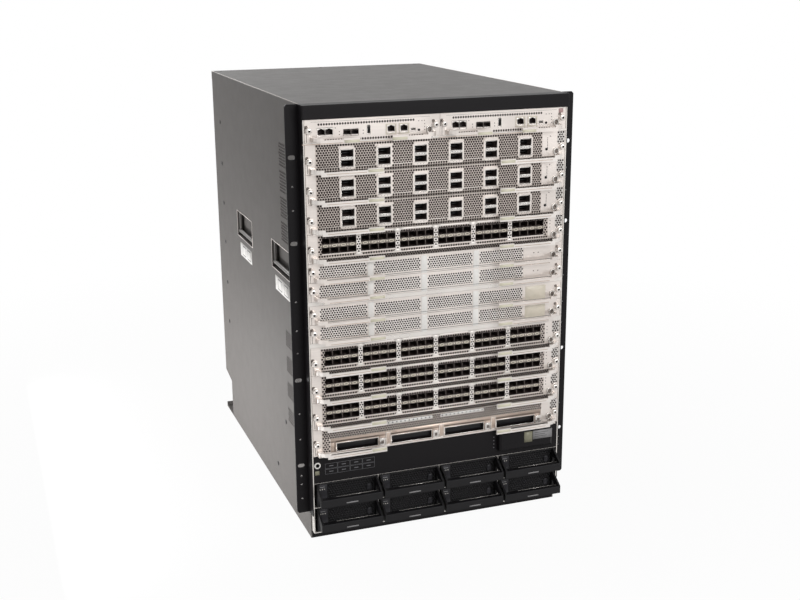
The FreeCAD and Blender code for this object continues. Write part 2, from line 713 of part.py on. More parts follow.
def card_body(x0, x1, slot, height):
    """Tray, circuit board, heat sinks and rear connectors behind a faceplate."""
    y0 = FACE + FACEPLATE
    low = slot + RAIL_RISE + RUNNING_GAP
    outline = [(x0, low), (x1, low), (x1, low + TRAY_LIP), (x1 - SHEET, low + TRAY_LIP),
               (x1 - SHEET, low + SHEET), (x0 + SHEET, low + SHEET), (x0 + SHEET, low + TRAY_LIP),
               (x0, low + TRAY_LIP)]
    tray = front_profile(outline, y0, CARD_BACK)
    board_low = low + BOARD_LIFT
    board = block(x0 + BOARD_INSET, x1 - BOARD_INSET, y0, CARD_BACK, board_low,
                  board_low + BOARD_THICKNESS)
    ribs = [block(x - SHEET, x + SHEET, y0, CARD_BACK, low, board_low)
            for x in (x0 + BOARD_INSET + SHEET, x1 - BOARD_INSET - SHEET)]
    top = board_low + BOARD_THICKNESS
    sink_top = min(top + HEAT_SINK_HEIGHT, slot + height - HEAT_SINK_HEADROOM)
    sink_front = FACE + HEAT_SINK_SETBACK
    plug_top = max(board_low, slot + height / 2 - CONNECTOR_HEIGHT / 2) + CONNECTOR_HEIGHT
    sinks = []
    plugs = []
    for x in spread(2, (x1 - x0) / 2, (x0 + x1) / 2):
        sinks.append(block(x - HEAT_SINK_WIDTH / 2, x + HEAT_SINK_WIDTH / 2, sink_front,
                           sink_front + HEAT_SINK_LENGTH, board_low, sink_top))
        plugs.append(block(x - CONNECTOR_WIDTH / 2, x + CONNECTOR_WIDTH / 2,
                           CARD_BACK - CONNECTOR_DEPTH, CARD_BACK, board_low, plug_top))
    return [tray, board] + ribs + sinks + plugs


def faceplate(x0, x1, slot, height):
    """Flat front plate of a card."""
    return block(x0, x1, FACE, FACE + FACEPLATE, slot + FACE_JOINT_GAP / 2,
                 slot + height - FACE_JOINT_GAP / 2)


def full_width_card(slot, height, screw_height):
    """Solids that every full-width card shares: plate, body and two screws."""
    x = FACE_HALF - SCREW_FROM_EDGE
    screws = [captive_screw(x, slot + screw_height), captive_screw(-x, slot + screw_height)]
    plate = faceplate(-FACE_HALF, FACE_HALF, slot, height)
    return [plate] + card_body(-BODY_HALF, BODY_HALF, slot, height) + screws


def line_card(slot, extra, cutters):
    """Line card with the given port housings and port holes."""
    lugs = lever_lugs(-FACE_HALF, slot)
    lugs += [mirrored(lug) for lug in lugs]
    return union(full_width_card(slot, LINE_PITCH, SCREW_HEIGHT) + lugs + extra).cut(cutters)


def window_card(slot):
    """Line card with six raised windows of two wide ports each."""
    frames = []
    ports = []
    for x in row_on_card(PORT_GROUPS, WINDOW_PITCH, WINDOW_CENTRE, WINDOW_WIDTH, LAMP_STRIP):
        x0 = x - WINDOW_WIDTH / 2
        z0 = slot + WINDOW_BOTTOM
        outline = clipped_rectangle(x0, x0 + WINDOW_WIDTH, z0, z0 + WINDOW_HEIGHT, WINDOW_CORNER)
        back = FACE + FACEPLATE + WIDE_PORT_DEPTH
        frames.append(front_profile(outline, FACE - WINDOW_PROUD, back))
        for row in WIDE_PORT_ROWS:
            ports.append(block(x - WIDE_PORT_WIDTH / 2, x + WIDE_PORT_WIDTH / 2,
                               FACE - WINDOW_PROUD - 1, FACE + WIDE_PORT_DEPTH,
                               z0 + row, z0 + row + WIDE_PORT_HEIGHT))
    return line_card(slot, frames, ports)


def dense_card(slot):
    """Line card with two rows of small ports in six groups of eight."""
    housings = []
    ports = []
    half_group = PORTS_PER_GROUP * SMALL_PORT_PITCH / 2
    back = FACE + FACEPLATE + SMALL_PORT_DEPTH
    low = slot + SMALL_PORT_ROWS[0] - 1
    high = slot + SMALL_PORT_ROWS[-1] + SMALL_PORT_HEIGHT + 1
    for centre in row_on_card(PORT_GROUPS, PORT_GROUP_PITCH, PORT_GROUP_CENTRE, 2 * half_group):
        housings.append(block(centre - half_group, centre + half_group, FACE, back, low, high))
        for x in spread(PORTS_PER_GROUP, SMALL_PORT_PITCH, centre):
            for row in SMALL_PORT_ROWS:
                ports.append(block(x - SMALL_PORT_WIDTH / 2, x + SMALL_PORT_WIDTH / 2, FACE - 1,
                                   FACE + SMALL_PORT_DEPTH, slot + row,
                                   slot + row + SMALL_PORT_HEIGHT))
    return line_card(slot, housings, ports)


def bay_card(slot):
    """Line card with four wide module bays and a latch block beside each."""
    housings = []
    bays = []
    low = slot + BAY_BOTTOM
    latch_room = BAY_WALL + LATCH_WIDTH
    for x in row_on_card(BAY_COUNT, BAY_PITCH, BAY_CENTRE - latch_room / 2,
                         BAY_WIDTH + latch_room):
        x0 = x - BAY_WIDTH / 2
        x1 = x + BAY_WIDTH / 2
        latch = x1 + BAY_WALL
        housings.append(block(x0 - BAY_WALL, latch, FACE - BAY_FRAME_PROUD,
                              FACE + FACEPLATE + BAY_DEPTH, low - BAY_WALL,
                              low + BAY_HEIGHT + BAY_WALL))
        bays.append(block(x0, x1, FACE - BAY_FRAME_PROUD - 1, FACE + BAY_DEPTH, low,
                          low + BAY_HEIGHT))
        housings.append(block(latch, latch + LATCH_WIDTH, FACE - LATCH_PROUD, FACE, low,
                              low + LATCH_HEIGHT))
    return line_card(slot, housings, bays)


def fabric_card(slot):
    """Switching fabric card with four recessed vents and fixed levers."""
    levers = fixed_lever(-FACE_HALF, slot, LEVER_REACH)
    levers += [mirrored(part) for part in levers]
    parts = full_width_card(slot, FABRIC_PITCH, SCREW_HEIGHT_LOW)
    low = slot + VENT_BOTTOM
    vents = [block(x - VENT_WIDTH / 2, x + VENT_WIDTH / 2, FACE - 1, FACE + VENT_RECESS, low,
                   low + VENT_HEIGHT)
             for x in row_on_card(VENT_COUNT, VENT_PITCH, VENT_CENTRE, VENT_WIDTH)]
    return union(parts + levers).cut(vents)


CONTROL_PORTS = (
    (25.7, 11.7, 11.0, 11.0), (38.1, 11.7, 11.0, 11.0), (66.4, 11.6, 9.8, 8.4),
    (78.6, 11.6, 9.8, 8.4), (100.7, 5.2, 10.0, 12.8), (136.7, 11.7, 11.0, 11.0),
    (157.6, 11.7, 11.0, 11.0), (172.8, 7.6, 11.0, 3.6))
CONTROL_PORT_DEPTH = 13.0
CONTROL_BUTTON_X = 182.0
CONTROL_BUTTON_Z = 12.8
CONTROL_BUTTON_RADIUS = 1.6
CONTROL_BUTTON_PROUD = 0.8


def control_card(shift, body_left, body_right):
    """Half-width control card: network, optical, USB and console sockets in a row.

    The sockets are listed as centre from the card's left edge, width, foot above the slot and
    height.
    The body's two sides are given in place, and the rest moves over by the shift.
    """
    slot = CONTROL_BOTTOM
    left = -FACE_HALF
    right = -FACE_JOINT_GAP / 2
    plate = faceplate(left, right, slot, CONTROL_HEIGHT)
    body = card_body(body_left - shift, body_right - shift, slot, CONTROL_HEIGHT)
    screws = [captive_screw(left + SCREW_FROM_EDGE, slot + SCREW_HEIGHT),
              captive_screw(right - SCREW_FROM_EDGE - SHEET, slot + SCREW_HEIGHT)]
    left_lever = fixed_lever(left, slot, CONTROL_LEVER_REACH)
    right_lever = [mirrored(part) for part in fixed_lever(-right, slot, CONTROL_LEVER_REACH)]
    button = rod(CONTROL_BUTTON_RADIUS,
                 (left + CONTROL_BUTTON_X, FACE - CONTROL_BUTTON_PROUD, slot + CONTROL_BUTTON_Z),
                 (left + CONTROL_BUTTON_X, FACE, slot + CONTROL_BUTTON_Z))
    housings = []
    sockets = []
    for along, width, low, height in CONTROL_PORTS:
        x = left + along
        housings.append(block(x - width / 2 - 1, x + width / 2 + 1, FACE,
                              FACE + CONTROL_PORT_DEPTH + 1, slot + low - 1, slot + low + height + 1))
        sockets.append(block(x - width / 2, x + width / 2, FACE - 1, FACE + CONTROL_PORT_DEPTH,
                             slot + low, slot + low + height))
    card = union([plate, button] + body + screws + left_lever + right_lever + housings)
    card = card.cut(sockets)
    card.translate(V(shift, 0, 0))
    return card


# Power supplies

def power_supply(x, low):
    """Plug-in supply: body, recessed face, and a bar handle on two sloping arms."""
    x0 = x - SUPPLY_WIDTH / 2
    x1 = x + SUPPLY_WIDTH / 2
    high = low + SUPPLY_HEIGHT
    body = block(x0, x1, FACE, SUPPLY_BACK - RUNNING_GAP, low, high)
    left = x0 + SUPPLY_STRIP
    right = x1 - SUPPLY_RECESS_RIM
    foot = low + SUPPLY_RECESS_BOTTOM
    corner = SUPPLY_RECESS_CORNER
    outline = [(left + corner, foot), (right, foot), (right, high - SUPPLY_RECESS_RIM),
               (left, high - SUPPLY_RECESS_RIM), (left, foot + corner)]
    recess = front_profile(outline, FACE - 1, FACE + SUPPLY_RECESS)
    bar_low = low + HANDLE_BAR_LIFT
    bar_front = FACE - HANDLE_REACH
    bar = block(x0, x1, bar_front, bar_front + HANDLE_BAR_DEPTH, bar_low,
                bar_low + HANDLE_BAR_HEIGHT)
    arm = [(FACE, high), (FACE, high - HANDLE_ARM_ROOT), (bar_front, bar_low),
           (bar_front, bar_low + HANDLE_BAR_HEIGHT)]
    arms = [side_profile(arm, a, a + HANDLE_ARM) for a in (x0, x1 - HANDLE_ARM)]
    return union([body.cut(recess), bar] + arms)


# Back of the chassis

def rear_frame():
    """Back plate with the fan window, the recessed inlet panel and its sockets."""
    w = PANEL_IN
    window = CAGE_IN - FAN_TRAY_WINDOW_RIM
    plate = front_profile([(-w, RECESS_TOP), (w, RECESS_TOP), (w, TOP_UNDER), (-w, TOP_UNDER)],
                          REAR - SHEET, REAR)
    opening = block(-window, window, REAR - SHEET - 1, REAR + 1, CARD_ZONE_BOTTOM, CARD_ZONE_TOP)
    step = RECESS_TOP - RECESS_DROP
    ceiling = side_profile([(REAR, RECESS_TOP), (REAR, RECESS_TOP + SHEET),
                            (RECESS_WALL - SHEET, step + SHEET), (RECESS_WALL - SHEET, step)],
                           -w, w)
    wall = block(-w, w, RECESS_WALL - SHEET, RECESS_WALL, BASE_HEIGHT, step + SHEET / 2)
    bodies = []
    sockets = []
    middle = (BASE_HEIGHT + step) / 2
    for x in spread(SUPPLY_COLUMNS, SUPPLY_PITCH):
        for z in spread(2, INLET_ROW_PITCH, middle):
            bodies.append(block(x - INLET_WIDTH / 2, x + INLET_WIDTH / 2,
                                RECESS_WALL - INLET_SOCKET_DEPTH, RECESS_WALL + INLET_PROUD,
                                z - INLET_HEIGHT / 2, z + INLET_HEIGHT / 2))
            sockets.append(block(x - INLET_SOCKET_WIDTH / 2, x + INLET_SOCKET_WIDTH / 2,
                                 RECESS_WALL + INLET_PROUD - INLET_SOCKET_DEPTH,
                                 RECESS_WALL + INLET_PROUD + 1,
                                 z - INLET_SOCKET_HEIGHT / 2, z + INLET_SOCKET_HEIGHT / 2))
    ground = HALF - GROUND_FROM_EDGE
    holes = [rod(GROUND_HOLE, (ground, REAR - SHEET - 1, z), (ground, REAR + 1, z))
             for z in spread(2, GROUND_SPACING, GROUND_Z)]
    return union([plate.cut([opening] + holes), ceiling, wall] + bodies).cut(sockets)


def fan_middles(tray):
    """Axes of one tray's two fans, as (x, z) pairs."""
    z = CARD_ZONE_BOTTOM + (tray + 0.5) * FAN_ZONE
    return [(x, z) for x in (-FAN_SPREAD, FAN_SPREAD)]


FAN_BACK = REAR - FAN_SETBACK
FAN_FRONT = FAN_BACK - FAN_DEPTH


def guard_gaps(x, z):
    """Openings of one fan's grille: rings of slots that leave many-sided hoops and spokes."""
    y0 = REAR
    y1 = REAR + RUNNING_GAP + FAN_TRAY_PLATE + 1
    pitch = (FAN_RADIUS + FAN_TIP_GAP - GUARD_CAP + GUARD_RING) / GUARD_GAPS
    sector = 2 * math.pi / GUARD_SPOKES
    gaps = []
    for n in range(GUARD_GAPS):
        inner = GUARD_CAP + n * pitch
        outer = inner + pitch - GUARD_RING
        for spoke in range(GUARD_SPOKES):
            start = spoke * sector
            corners = []
            for radius, turn in ((inner, 1), (outer, -1)):
                margin = GUARD_SPOKE_WIDTH / 2 / radius
                angles = spread(GUARD_SLOT_POINTS, (sector - 2 * margin) / (GUARD_SLOT_POINTS - 1))
                corners += [(x + radius * math.cos(start + sector / 2 + turn * a),
                             z + radius * math.sin(start + sector / 2 + turn * a)) for a in angles]
            gaps.append(front_profile(corners, y0, y1))
    return gaps


def fan_mount(x, z, width):
    """Strut across the tray that carries one motor, with its stub shaft."""
    front = FAN_FRONT - RUNNING_GAP
    strut = block(x - width, x + width, front - STRUT_WIDTH, front, z - STRUT_WIDTH / 2,
                  z + STRUT_WIDTH / 2)
    boss = rod(FAN_HUB - STRUT_WIDTH, (x, front - STRUT_WIDTH, z), (x, front, z))
    shaft = rod(FAN_SHAFT, (x, front, z), (x, FAN_BACK, z))
    return [strut, boss, shaft]


def bow_handle(foot, z0, z1):
    """Flat bar bent into a bow, standing on the back plate with its feet at z0 and z1."""
    reach = foot + TRAY_HANDLE_REACH
    bend = TRAY_HANDLE_BEND
    bar = TRAY_HANDLE_BAR
    outline = [(foot, z0 - bar), (reach - bend, z0 - bar), (reach, z0 - bar + bend),
               (reach, z1 + bar - bend), (reach - bend, z1 + bar), (foot, z1 + bar),
               (foot, z1 - bar), (reach - bend, z1 - bar), (reach - 2 * bar, z1 + bar - bend),
               (reach - 2 * bar, z0 - bar + bend), (reach - bend, z0 + bar), (foot, z0 + bar)]
    return side_profile(outline, -bar, bar)


def fan_tray(tray):
    """Drawer with two fans: open box, guarded back plate, motor struts and a bow handle."""
    half = FAN_TRAY_WIDTH / 2
    low = CARD_ZONE_BOTTOM + tray * FAN_ZONE + RUNNING_GAP
    high = low + FAN_ZONE - FAN_TRAY_GAP - SHEET
    front = REAR - FAN_TRAY_DEPTH
    y0 = REAR + RUNNING_GAP
    y1 = y0 + FAN_TRAY_PLATE
    shell = block(-half, half, front, y0, low, high)
    hollow = block(-half + SHEET, half - SHEET, front - 1, y0 + 1, low + SHEET, high - SHEET)
    plate = block(-FACE_HALF, FACE_HALF, y0, y1, low + FAN_TRAY_GAP / 2, high - FAN_TRAY_GAP / 2)
    gaps = [gap for x, z in fan_middles(tray) for gap in guard_gaps(x, z)]
    parts = [shell.cut(hollow), plate.cut(gaps)]
    for x, z in fan_middles(tray):
        parts += fan_mount(x, z, half - abs(x))
    middle = (low + high) / 2
    parts.append(bow_handle(y1, middle - TRAY_HANDLE_WIDTH / 2, middle + TRAY_HANDLE_WIDTH / 2))
    return union(parts)


def blade_section(radius, pitch_angle, chord):
    """Corners of a slanted section of a fan blade at one radius from an axis along Y."""
    across = math.cos(math.radians(pitch_angle)) * chord / 2
    along = math.sin(math.radians(pitch_angle)) * chord / 2
    side = FAN_BLADE_THICKNESS / 2
    middle = (FAN_FRONT + FAN_BACK) / 2
    return [V(-across, middle - along - side, radius), V(across, middle + along - side, radius),
            V(across, middle + along + side, radius), V(-across, middle - along + side, radius)]


def fan_blade():
    """Twisted blade with flat facets: a root, a middle and a tip section, joined by triangles."""
    shares = (0.0, 0.5, 1.0)
    sections = []
    for share in shares:
        radius = FAN_HUB - 3 + share * (FAN_RADIUS - FAN_HUB + 3)
        pitch = FAN_BLADE_ROOT_PITCH + share * (FAN_BLADE_TIP_PITCH - FAN_BLADE_ROOT_PITCH)
        sections.append(blade_section(radius, pitch, FAN_BLADE_CHORD * (0.8 + 0.2 * share)))
    loops = []
    for low, high in zip(sections, sections[1:]):
        for n in range(4):
            a, b, c, d = low[n], low[(n + 1) % 4], high[(n + 1) % 4], high[n]
            loops += [(a, b, c), (a, c, d)]
    root, tip = sections[0], sections[-1]
    loops += [(root[3], root[2], root[1]), (root[3], root[1], root[0])]
    loops += [(tip[0], tip[1], tip[2]), (tip[0], tip[2], tip[3])]
    faces = [Part.Face(Part.makePolygon([a, b, c, a])) for a, b, c in loops]
    return Part.Solid(Part.Shell(faces))


def fan_rotor(x, z):
    """Hub with seven twisted blades, bored for its shaft."""
    blade = fan_blade()
    blades = []
    for n in range(FAN_BLADES):
        copy = blade.copy()
        copy.rotate(V(0, 0, 0), V(0, 1, 0), 360.0 * n / FAN_BLADES)
        blades.append(copy)
    hub = rod(FAN_HUB, (0, FAN_FRONT, 0), (0, FAN_BACK, 0))
    rotor = union([hub] + blades)
    bore = rod(FAN_SHAFT + RUNNING_GAP, (0, FAN_FRONT - 1, 0), (0, FAN_BACK + 1, 0))
    rotor = rotor.cut(bore)
    rotor.translate(V(x, 0, z))
    return rotor


# Assembly

def enclosure():
    """Fixed pieces of the chassis, by node name."""
    side = right_side_panel()
    ear = right_rack_ear()
    return {"base_tray": base_tray(), "left_side_panel": mirrored(side),
            "right_side_panel": side, "top_cover": top_cover(), "top_bezel": top_bezel(),
            "rack_ears": Part.makeCompound([mirrored(ear), ear]), "card_cage": card_cage(),
            "card_guides": card_guides(), "cage_shelves": cage_shelves(),
            "backplane_boards": backplane_boards(), "power_panel": power_panel(),
            "rear_frame": rear_frame()}


def lift_handles():
    """Four bails, two in each side panel, by node name."""
    nodes = {}
    for place, (front, back) in zip(("front", "rear"), pocket_spans()):
        bail = right_bail(front, back)
        nodes["right_%s_bail" % place] = bail
        nodes["left_%s_bail" % place] = mirrored(bail)
    return nodes


def cards():
    """Control, line and fabric cards with the line cards' levers, by node name."""
    inner = SHEET + FACE_SIDE_GAP
    shift = FACE_HALF + FACE_JOINT_GAP / 2
    nodes = {"control_card_left": control_card(0, -BODY_HALF, -inner),
             "control_card_right": control_card(shift, inner, BODY_HALF)}
    makers = [window_card] * 3 + [dense_card] * 4 + [bay_card]
    for n, (slot, make) in enumerate(zip(line_slots(), makers), 1):
        left = placed_lever(-FACE_HALF, slot, LEVER_REACH)
        nodes["line_card_%d" % n] = make(slot)
        nodes["line_card_%d_left_lever" % n] = left
        nodes["line_card_%d_right_lever" % n] = mirrored(left)
    for n, slot in enumerate(fabric_slots(), 1):
        nodes["fabric_card_%d" % n] = fabric_card(slot)
    return nodes


def supplies():
    """Two rows of power supplies, by node name."""
    places = [(x, low) for low in (UPPER_SUPPLY, LOWER_SUPPLY)
              for x in spread(SUPPLY_COLUMNS, SUPPLY_PITCH)]
    return {"power_supply_%d" % n: power_supply(x, low) for n, (x, low) in enumerate(places, 1)}


def fans():
    """Fan trays and rotors, by node name."""
    nodes = {}
    for tray, name in enumerate(("lower", "upper")):
        nodes["fan_tray_%s" % name] = fan_tray(tray)
        for side, (x, z) in zip(("left", "right"), fan_middles(tray)):
            nodes["fan_rotor_%s_%s" % (name, side)] = fan_rotor(x, z)
    return nodes


def main():
    """Build every node and write it to parts/."""
    os.makedirs("parts", exist_ok=True)
    nodes = {**enclosure(), **lift_handles(), **cards(), **supplies(), **fans()}
    for name, shape in nodes.items():
        shape.exportStep(os.path.join("parts", name + ".step"))
    print(len(nodes), "nodes written")


main()
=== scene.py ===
"""Looks of the modular chassis switch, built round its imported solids.

Shapes are worked out in millimetres as numpy arrays, each in its own (right, up, out) directions.
Surface.on() puts them on a side of the chassis, and make_piece() turns millimetres into metres.
"""
import logging
import math
from dataclasses import dataclass
from enum import Enum, IntEnum, auto
from typing import Iterable, Protocol, Sequence

import bpy
import numpy as np
from mathutils import Matrix, Vector


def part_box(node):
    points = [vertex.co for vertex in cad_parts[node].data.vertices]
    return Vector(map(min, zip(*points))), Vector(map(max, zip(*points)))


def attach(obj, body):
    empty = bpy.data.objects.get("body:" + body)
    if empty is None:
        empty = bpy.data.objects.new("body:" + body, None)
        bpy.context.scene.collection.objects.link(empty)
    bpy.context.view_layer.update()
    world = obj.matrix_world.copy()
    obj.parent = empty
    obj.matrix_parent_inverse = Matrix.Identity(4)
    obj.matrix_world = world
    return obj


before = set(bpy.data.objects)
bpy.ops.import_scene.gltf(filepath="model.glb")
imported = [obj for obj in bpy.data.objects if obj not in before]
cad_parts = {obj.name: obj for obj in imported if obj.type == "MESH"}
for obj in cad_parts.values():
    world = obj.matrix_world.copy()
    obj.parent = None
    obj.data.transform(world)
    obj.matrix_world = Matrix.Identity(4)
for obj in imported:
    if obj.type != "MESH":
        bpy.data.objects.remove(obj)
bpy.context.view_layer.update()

log = logging.getLogger("chassis_switch")
MM = 0.001

# An outline is an array of (u, v) points; a level is an outline at a height. An area is (u0, u1, v0, v1)
# and a block is a rectangle's (width, height, middle u, middle v).
Outline = np.ndarray
Level = tuple[Outline, float]
Colour = tuple[float, float, float]
Place = tuple[float, float, float]
Area = tuple[float, float, float, float]
Block = tuple[float, float, float, float]


class Look(IntEnum):
    """Finishes that a face can have; a face's number is one of these."""
    SIDE_PAINT = 0
    BLACK_PAINT = auto()
    CARD_STEEL = auto()
    TIN_PLATE = auto()
    LEVER_STEEL = auto()
    BAIL_STEEL = auto()
    COVER_PAINT = auto()
    MESH_STEEL = auto()
    PALE_MESH = auto()
    DARK_MESH = auto()
    CAGE_STEEL = auto()
    TAN_STEEL = auto()
    NICKEL = auto()
    ZINC = auto()
    DARK = auto()
    SHADE = auto()
    BLACK_PLASTIC = auto()
    GREY_PLASTIC = auto()
    SUPPLY_CASE = auto()
    FAN_PLASTIC = auto()
    WHITE_FILM = auto()
    CREAM_FILM = auto()
    TIP_FILM = auto()
    GREY_FILM = auto()
    PINK_FILM = auto()
    OLIVE_FILM = auto()
    LINE_FILM = auto()
    GRID_FILM = auto()
    LAMP = auto()
    CLEAR_LENS = auto()
    BOARD = auto()
    CHIP = auto()
    GOLD = auto()


# ---------------------------------------------------------------- surfaces

class Side(Enum):
    """Sides of the chassis as (right, up, out) directions, seen from outside."""
    FRONT = ((1, 0, 0), (0, 0, 1), (0, -1, 0))
    REAR = ((-1, 0, 0), (0, 0, 1), (0, 1, 0))
    LEFT = ((0, -1, 0), (0, 0, 1), (-1, 0, 0))
    RIGHT = ((0, 1, 0), (0, 0, 1), (1, 0, 0))
    TOP = ((1, 0, 0), (0, 1, 0), (0, 0, 1))


@dataclass
class Surface:
    """A mesh in numbers: points, quads and triangles, each face with the number of its look."""
    points: np.ndarray
    quads: np.ndarray
    quad_looks: np.ndarray
    tris: np.ndarray
    tri_looks: np.ndarray

    @classmethod
    def joined(cls, parts: Iterable["Surface"]) -> "Surface":
        """One surface from several: points in a row, face numbers raised by the points before.

        Args:
            parts: the surfaces to join.
        Returns:
            One surface that holds them all.
        """
        parts = list(parts)
        starts = np.cumsum([0] + [len(p.points) for p in parts[:-1]])
        return cls(np.concatenate([p.points for p in parts]),
                   np.concatenate([p.quads + s for p, s in zip(parts, starts)]),
                   np.concatenate([p.quad_looks for p in parts]),
                   np.concatenate([p.tris + s for p, s in zip(parts, starts)]),
                   np.concatenate([p.tri_looks for p in parts]))

    def at(self, offsets: Sequence[Place]) -> "Surface":
        """Copies moved by each offset: points plus offset, face numbers plus copy times count.

        Args:
            offsets: a (u, v, w) step for each copy.
        Returns:
            All copies as one surface.
        """
        spots = np.array(offsets, float).reshape(-1, 1, 3)
        steps = np.arange(len(spots)).reshape(-1, 1, 1) * len(self.points)
        return Surface((self.points[None] + spots).reshape(-1, 3),
                       (self.quads[None] + steps).reshape(-1, 4),
                       np.tile(self.quad_looks, len(spots)),
                       (self.tris[None] + steps).reshape(-1, 3),
                       np.tile(self.tri_looks, len(spots)))

    def on(self, side: Side, places: Sequence[Place]) -> "Surface":
        """Turn (right, up, out) to a side's directions and copy the surface to places there."""
        turned = Surface(self.points @ np.array(side.value, float), self.quads, self.quad_looks,
                         self.tris, self.tri_looks)
        return turned.at(places)

    def walls(self) -> "Surface":
        """The surface without its closing fan."""
        return Surface(self.points, self.quads, self.quad_looks, self.tris[:0], self.tri_looks[:0])


def stacked(levels: Sequence[Level], looks: Sequence[Look], last: Look | None = None) -> Surface:
    """Outlines carried along the outward axis: point i of level j is (outline_j[i], height_j).

    Quads join each level to the next and a fan about the middle closes the last one, so a block,
    a rim with a well inside it and a turned head are all lists of outlines.

    Args:
        levels: outlines of equal length, counter-clockwise, each with its height.
        looks: one look, or one for each band between two levels.
        last: look of the closing fan; None takes that of the last band.
    Returns:
        The surface in (right, up, out) millimetres.
    """
    count = len(levels[0][0])
    rings = np.concatenate([np.column_stack([o, np.full(count, h)]) for o, h in levels])
    bands = np.array(list(looks) * (len(levels) - 1))[:len(levels) - 1]
    here = np.arange(count)
    after = (here + 1) % count
    step = np.arange(len(levels) - 1)[:, None] * count
    quads = np.stack([step + here, step + after, step + count + after, step + count + here], -1)
    middle = np.append(levels[-1][0].mean(0), levels[-1][1])
    top = (len(levels) - 1) * count
    fan = np.column_stack([top + here, top + after, np.full(count, len(rings))])
    return Surface(np.vstack([rings, middle]), quads.reshape(-1, 4), np.repeat(bands, count), fan,
                   np.full(count, bands[-1] if last is None else last))


def rectangle(width: float, height: float, u: float = 0.0, v: float = 0.0) -> Outline:
    """Rectangle about (u, v), counter-clockwise from its lower left corner."""
    return np.array([[-1, -1], [1, -1], [1, 1], [-1, 1]]) * (width / 2, height / 2) + (u, v)


def superellipse(width: float, height: float, power: float = 2.0, count: int = 24) -> Outline:
    """Closed curve |2u/w|^p + |2v/h|^p = 1 at equal angles: an ellipse at 2, a soft box above.

    Args:
        width: w, across.
        height: h, up.
        power: p, which makes the corners squarer as it grows.
        count: number of points.
    Returns:
        The outline about (0, 0).
    """
    angle = (np.arange(count) + 0.5) * 2 * math.pi / count
    across, up = np.cos(angle), np.sin(angle)
    size = (np.abs(across) ** power + np.abs(up) ** power) ** (-1 / power)
    return np.column_stack([across * size * width / 2, up * size * height / 2])


def disc(radius: float, count: int = 20) -> Outline:
    """Circle as an even polygon."""
    return superellipse(2 * radius, 2 * radius, 2.0, count)


def knurled(radius: float, depth: float, teeth: int) -> Outline:
    """Circle whose radius steps in by the tooth depth, with two points on and two off each tooth.

    Args:
        radius: outer radius.
        depth: depth of a tooth.
        teeth: number of teeth.
    Returns:
        The outline about (0, 0), with four points for each tooth.
    """
    turn = np.arange(teeth * 4)
    angle = turn * 2 * math.pi / len(turn)
    reach = radius - depth * (turn // 2 % 2)
    return np.column_stack([np.cos(angle) * reach, np.sin(angle) * reach])


def clipped(width: float, height: float, corner: float) -> Outline:
    """Rectangle with its corners cut off at 45 degrees.

    Args:
        width: size across.
        height: size up.
        corner: length cut off each side at a corner.
    Returns:
        The outline about (0, 0), with eight points.
    """
    w, h = width / 2, height / 2
    quarter = np.array([[w, h - corner], [w - corner, h]])
    turns = [quarter, quarter[::-1] * (-1, 1), quarter * (-1, -1), quarter[::-1] * (1, -1)]
    return np.concatenate(turns)


def jack_opening(width: float, height: float, shoulder: float) -> Outline:
    """Opening of a network jack: a rectangle that narrows twice towards the latch at its top.

    Args:
        width: size across.
        height: size up.
        shoulder: step in at each narrowing.
    Returns:
        The outline about (0, 0), with twelve points.
    """
    w, h, s = width / 2, height / 2, shoulder
    right = np.array([[w, -h], [w, h - 2 * s], [w - s, h - 2 * s], [w - s, h - s], [w / 3, h - s],
                      [w / 3, h]])
    return np.concatenate([right, right[::-1] * (-1, 1)])


def grown(outline: Outline, step: float) -> Outline:
    """Outline scaled about its middle so that each side moves out by a step.

    Args:
        outline: the outline.
        step: distance out; a negative one draws it in.
    Returns:
        An outline with as many points.
    """
    least, most = outline.min(0), outline.max(0)
    middle = (least + most) / 2
    return middle + (outline - middle) * (1 + 2 * step / (most - least))


def boxed(outline: Outline, width: float, height: float) -> Outline:
    """Each point of an outline moved straight out from the middle onto a rectangle."""
    reach = np.maximum(np.abs(outline[:, 0]) / (width / 2), np.abs(outline[:, 1]) / (height / 2))
    return outline / reach[:, None]


def pad(outline: Outline, height: float, look: Look, bevel: float = 0.0,
        base: float = 0.0) -> Surface:
    """Raised pad: the outline rises, then draws in by the bevel at its top.

    Args:
        outline: foot of the pad.
        height: height over its base.
        look: look of the pad.
        bevel: width of the sloped edge at the top, 0 for a sharp one.
        base: height at which it starts.
    Returns:
        The pad, open at its foot.
    """
    levels = [(outline, base), (outline, base + height - bevel)]
    if bevel:
        levels.append((grown(outline, -bevel), base + height))
    return stacked(levels, [look])


def leaf(outline: Outline, height: float, look: Look) -> Surface:
    """Single flat face on an outline: the fan that closes it, without walls."""
    full = stacked([(outline, height), (outline, height)], [look])
    return Surface(full.points, full.quads[:0], full.quad_looks[:0], full.tris, full.tri_looks)


def frame_rim(outer: Outline, inner: Outline, height: float, look: Look,
              base: float = 0.0) -> Surface:
    """Flat rim between two outlines of equal length, raised by its height, open in the middle."""
    levels = [(outer, base), (outer, base + height), (inner, base + height), (inner, base)]
    return stacked(levels, [look]).walls()


def well(outline: Outline, top: float, depth: float, wall: Look, floor: Look) -> Surface:
    """Recess: the outline goes straight down by a depth to a floor."""
    return stacked([(outline, top), (outline, top - depth)], [wall], floor)


def spread(count: int, pitch: float, centre: float = 0.0) -> np.ndarray:
    """Centres of a row of equal parts."""
    return centre + (np.arange(count) - (count - 1) / 2) * pitch


def grid_of(us: Iterable[float], vs: Iterable[float]) -> np.ndarray:
    """Every (u, v, 0) with u from one list and v from the other."""
    u, v = np.meshgrid(list(us), list(vs))
    return np.column_stack([u.ravel(), v.ravel(), np.zeros(u.size)])


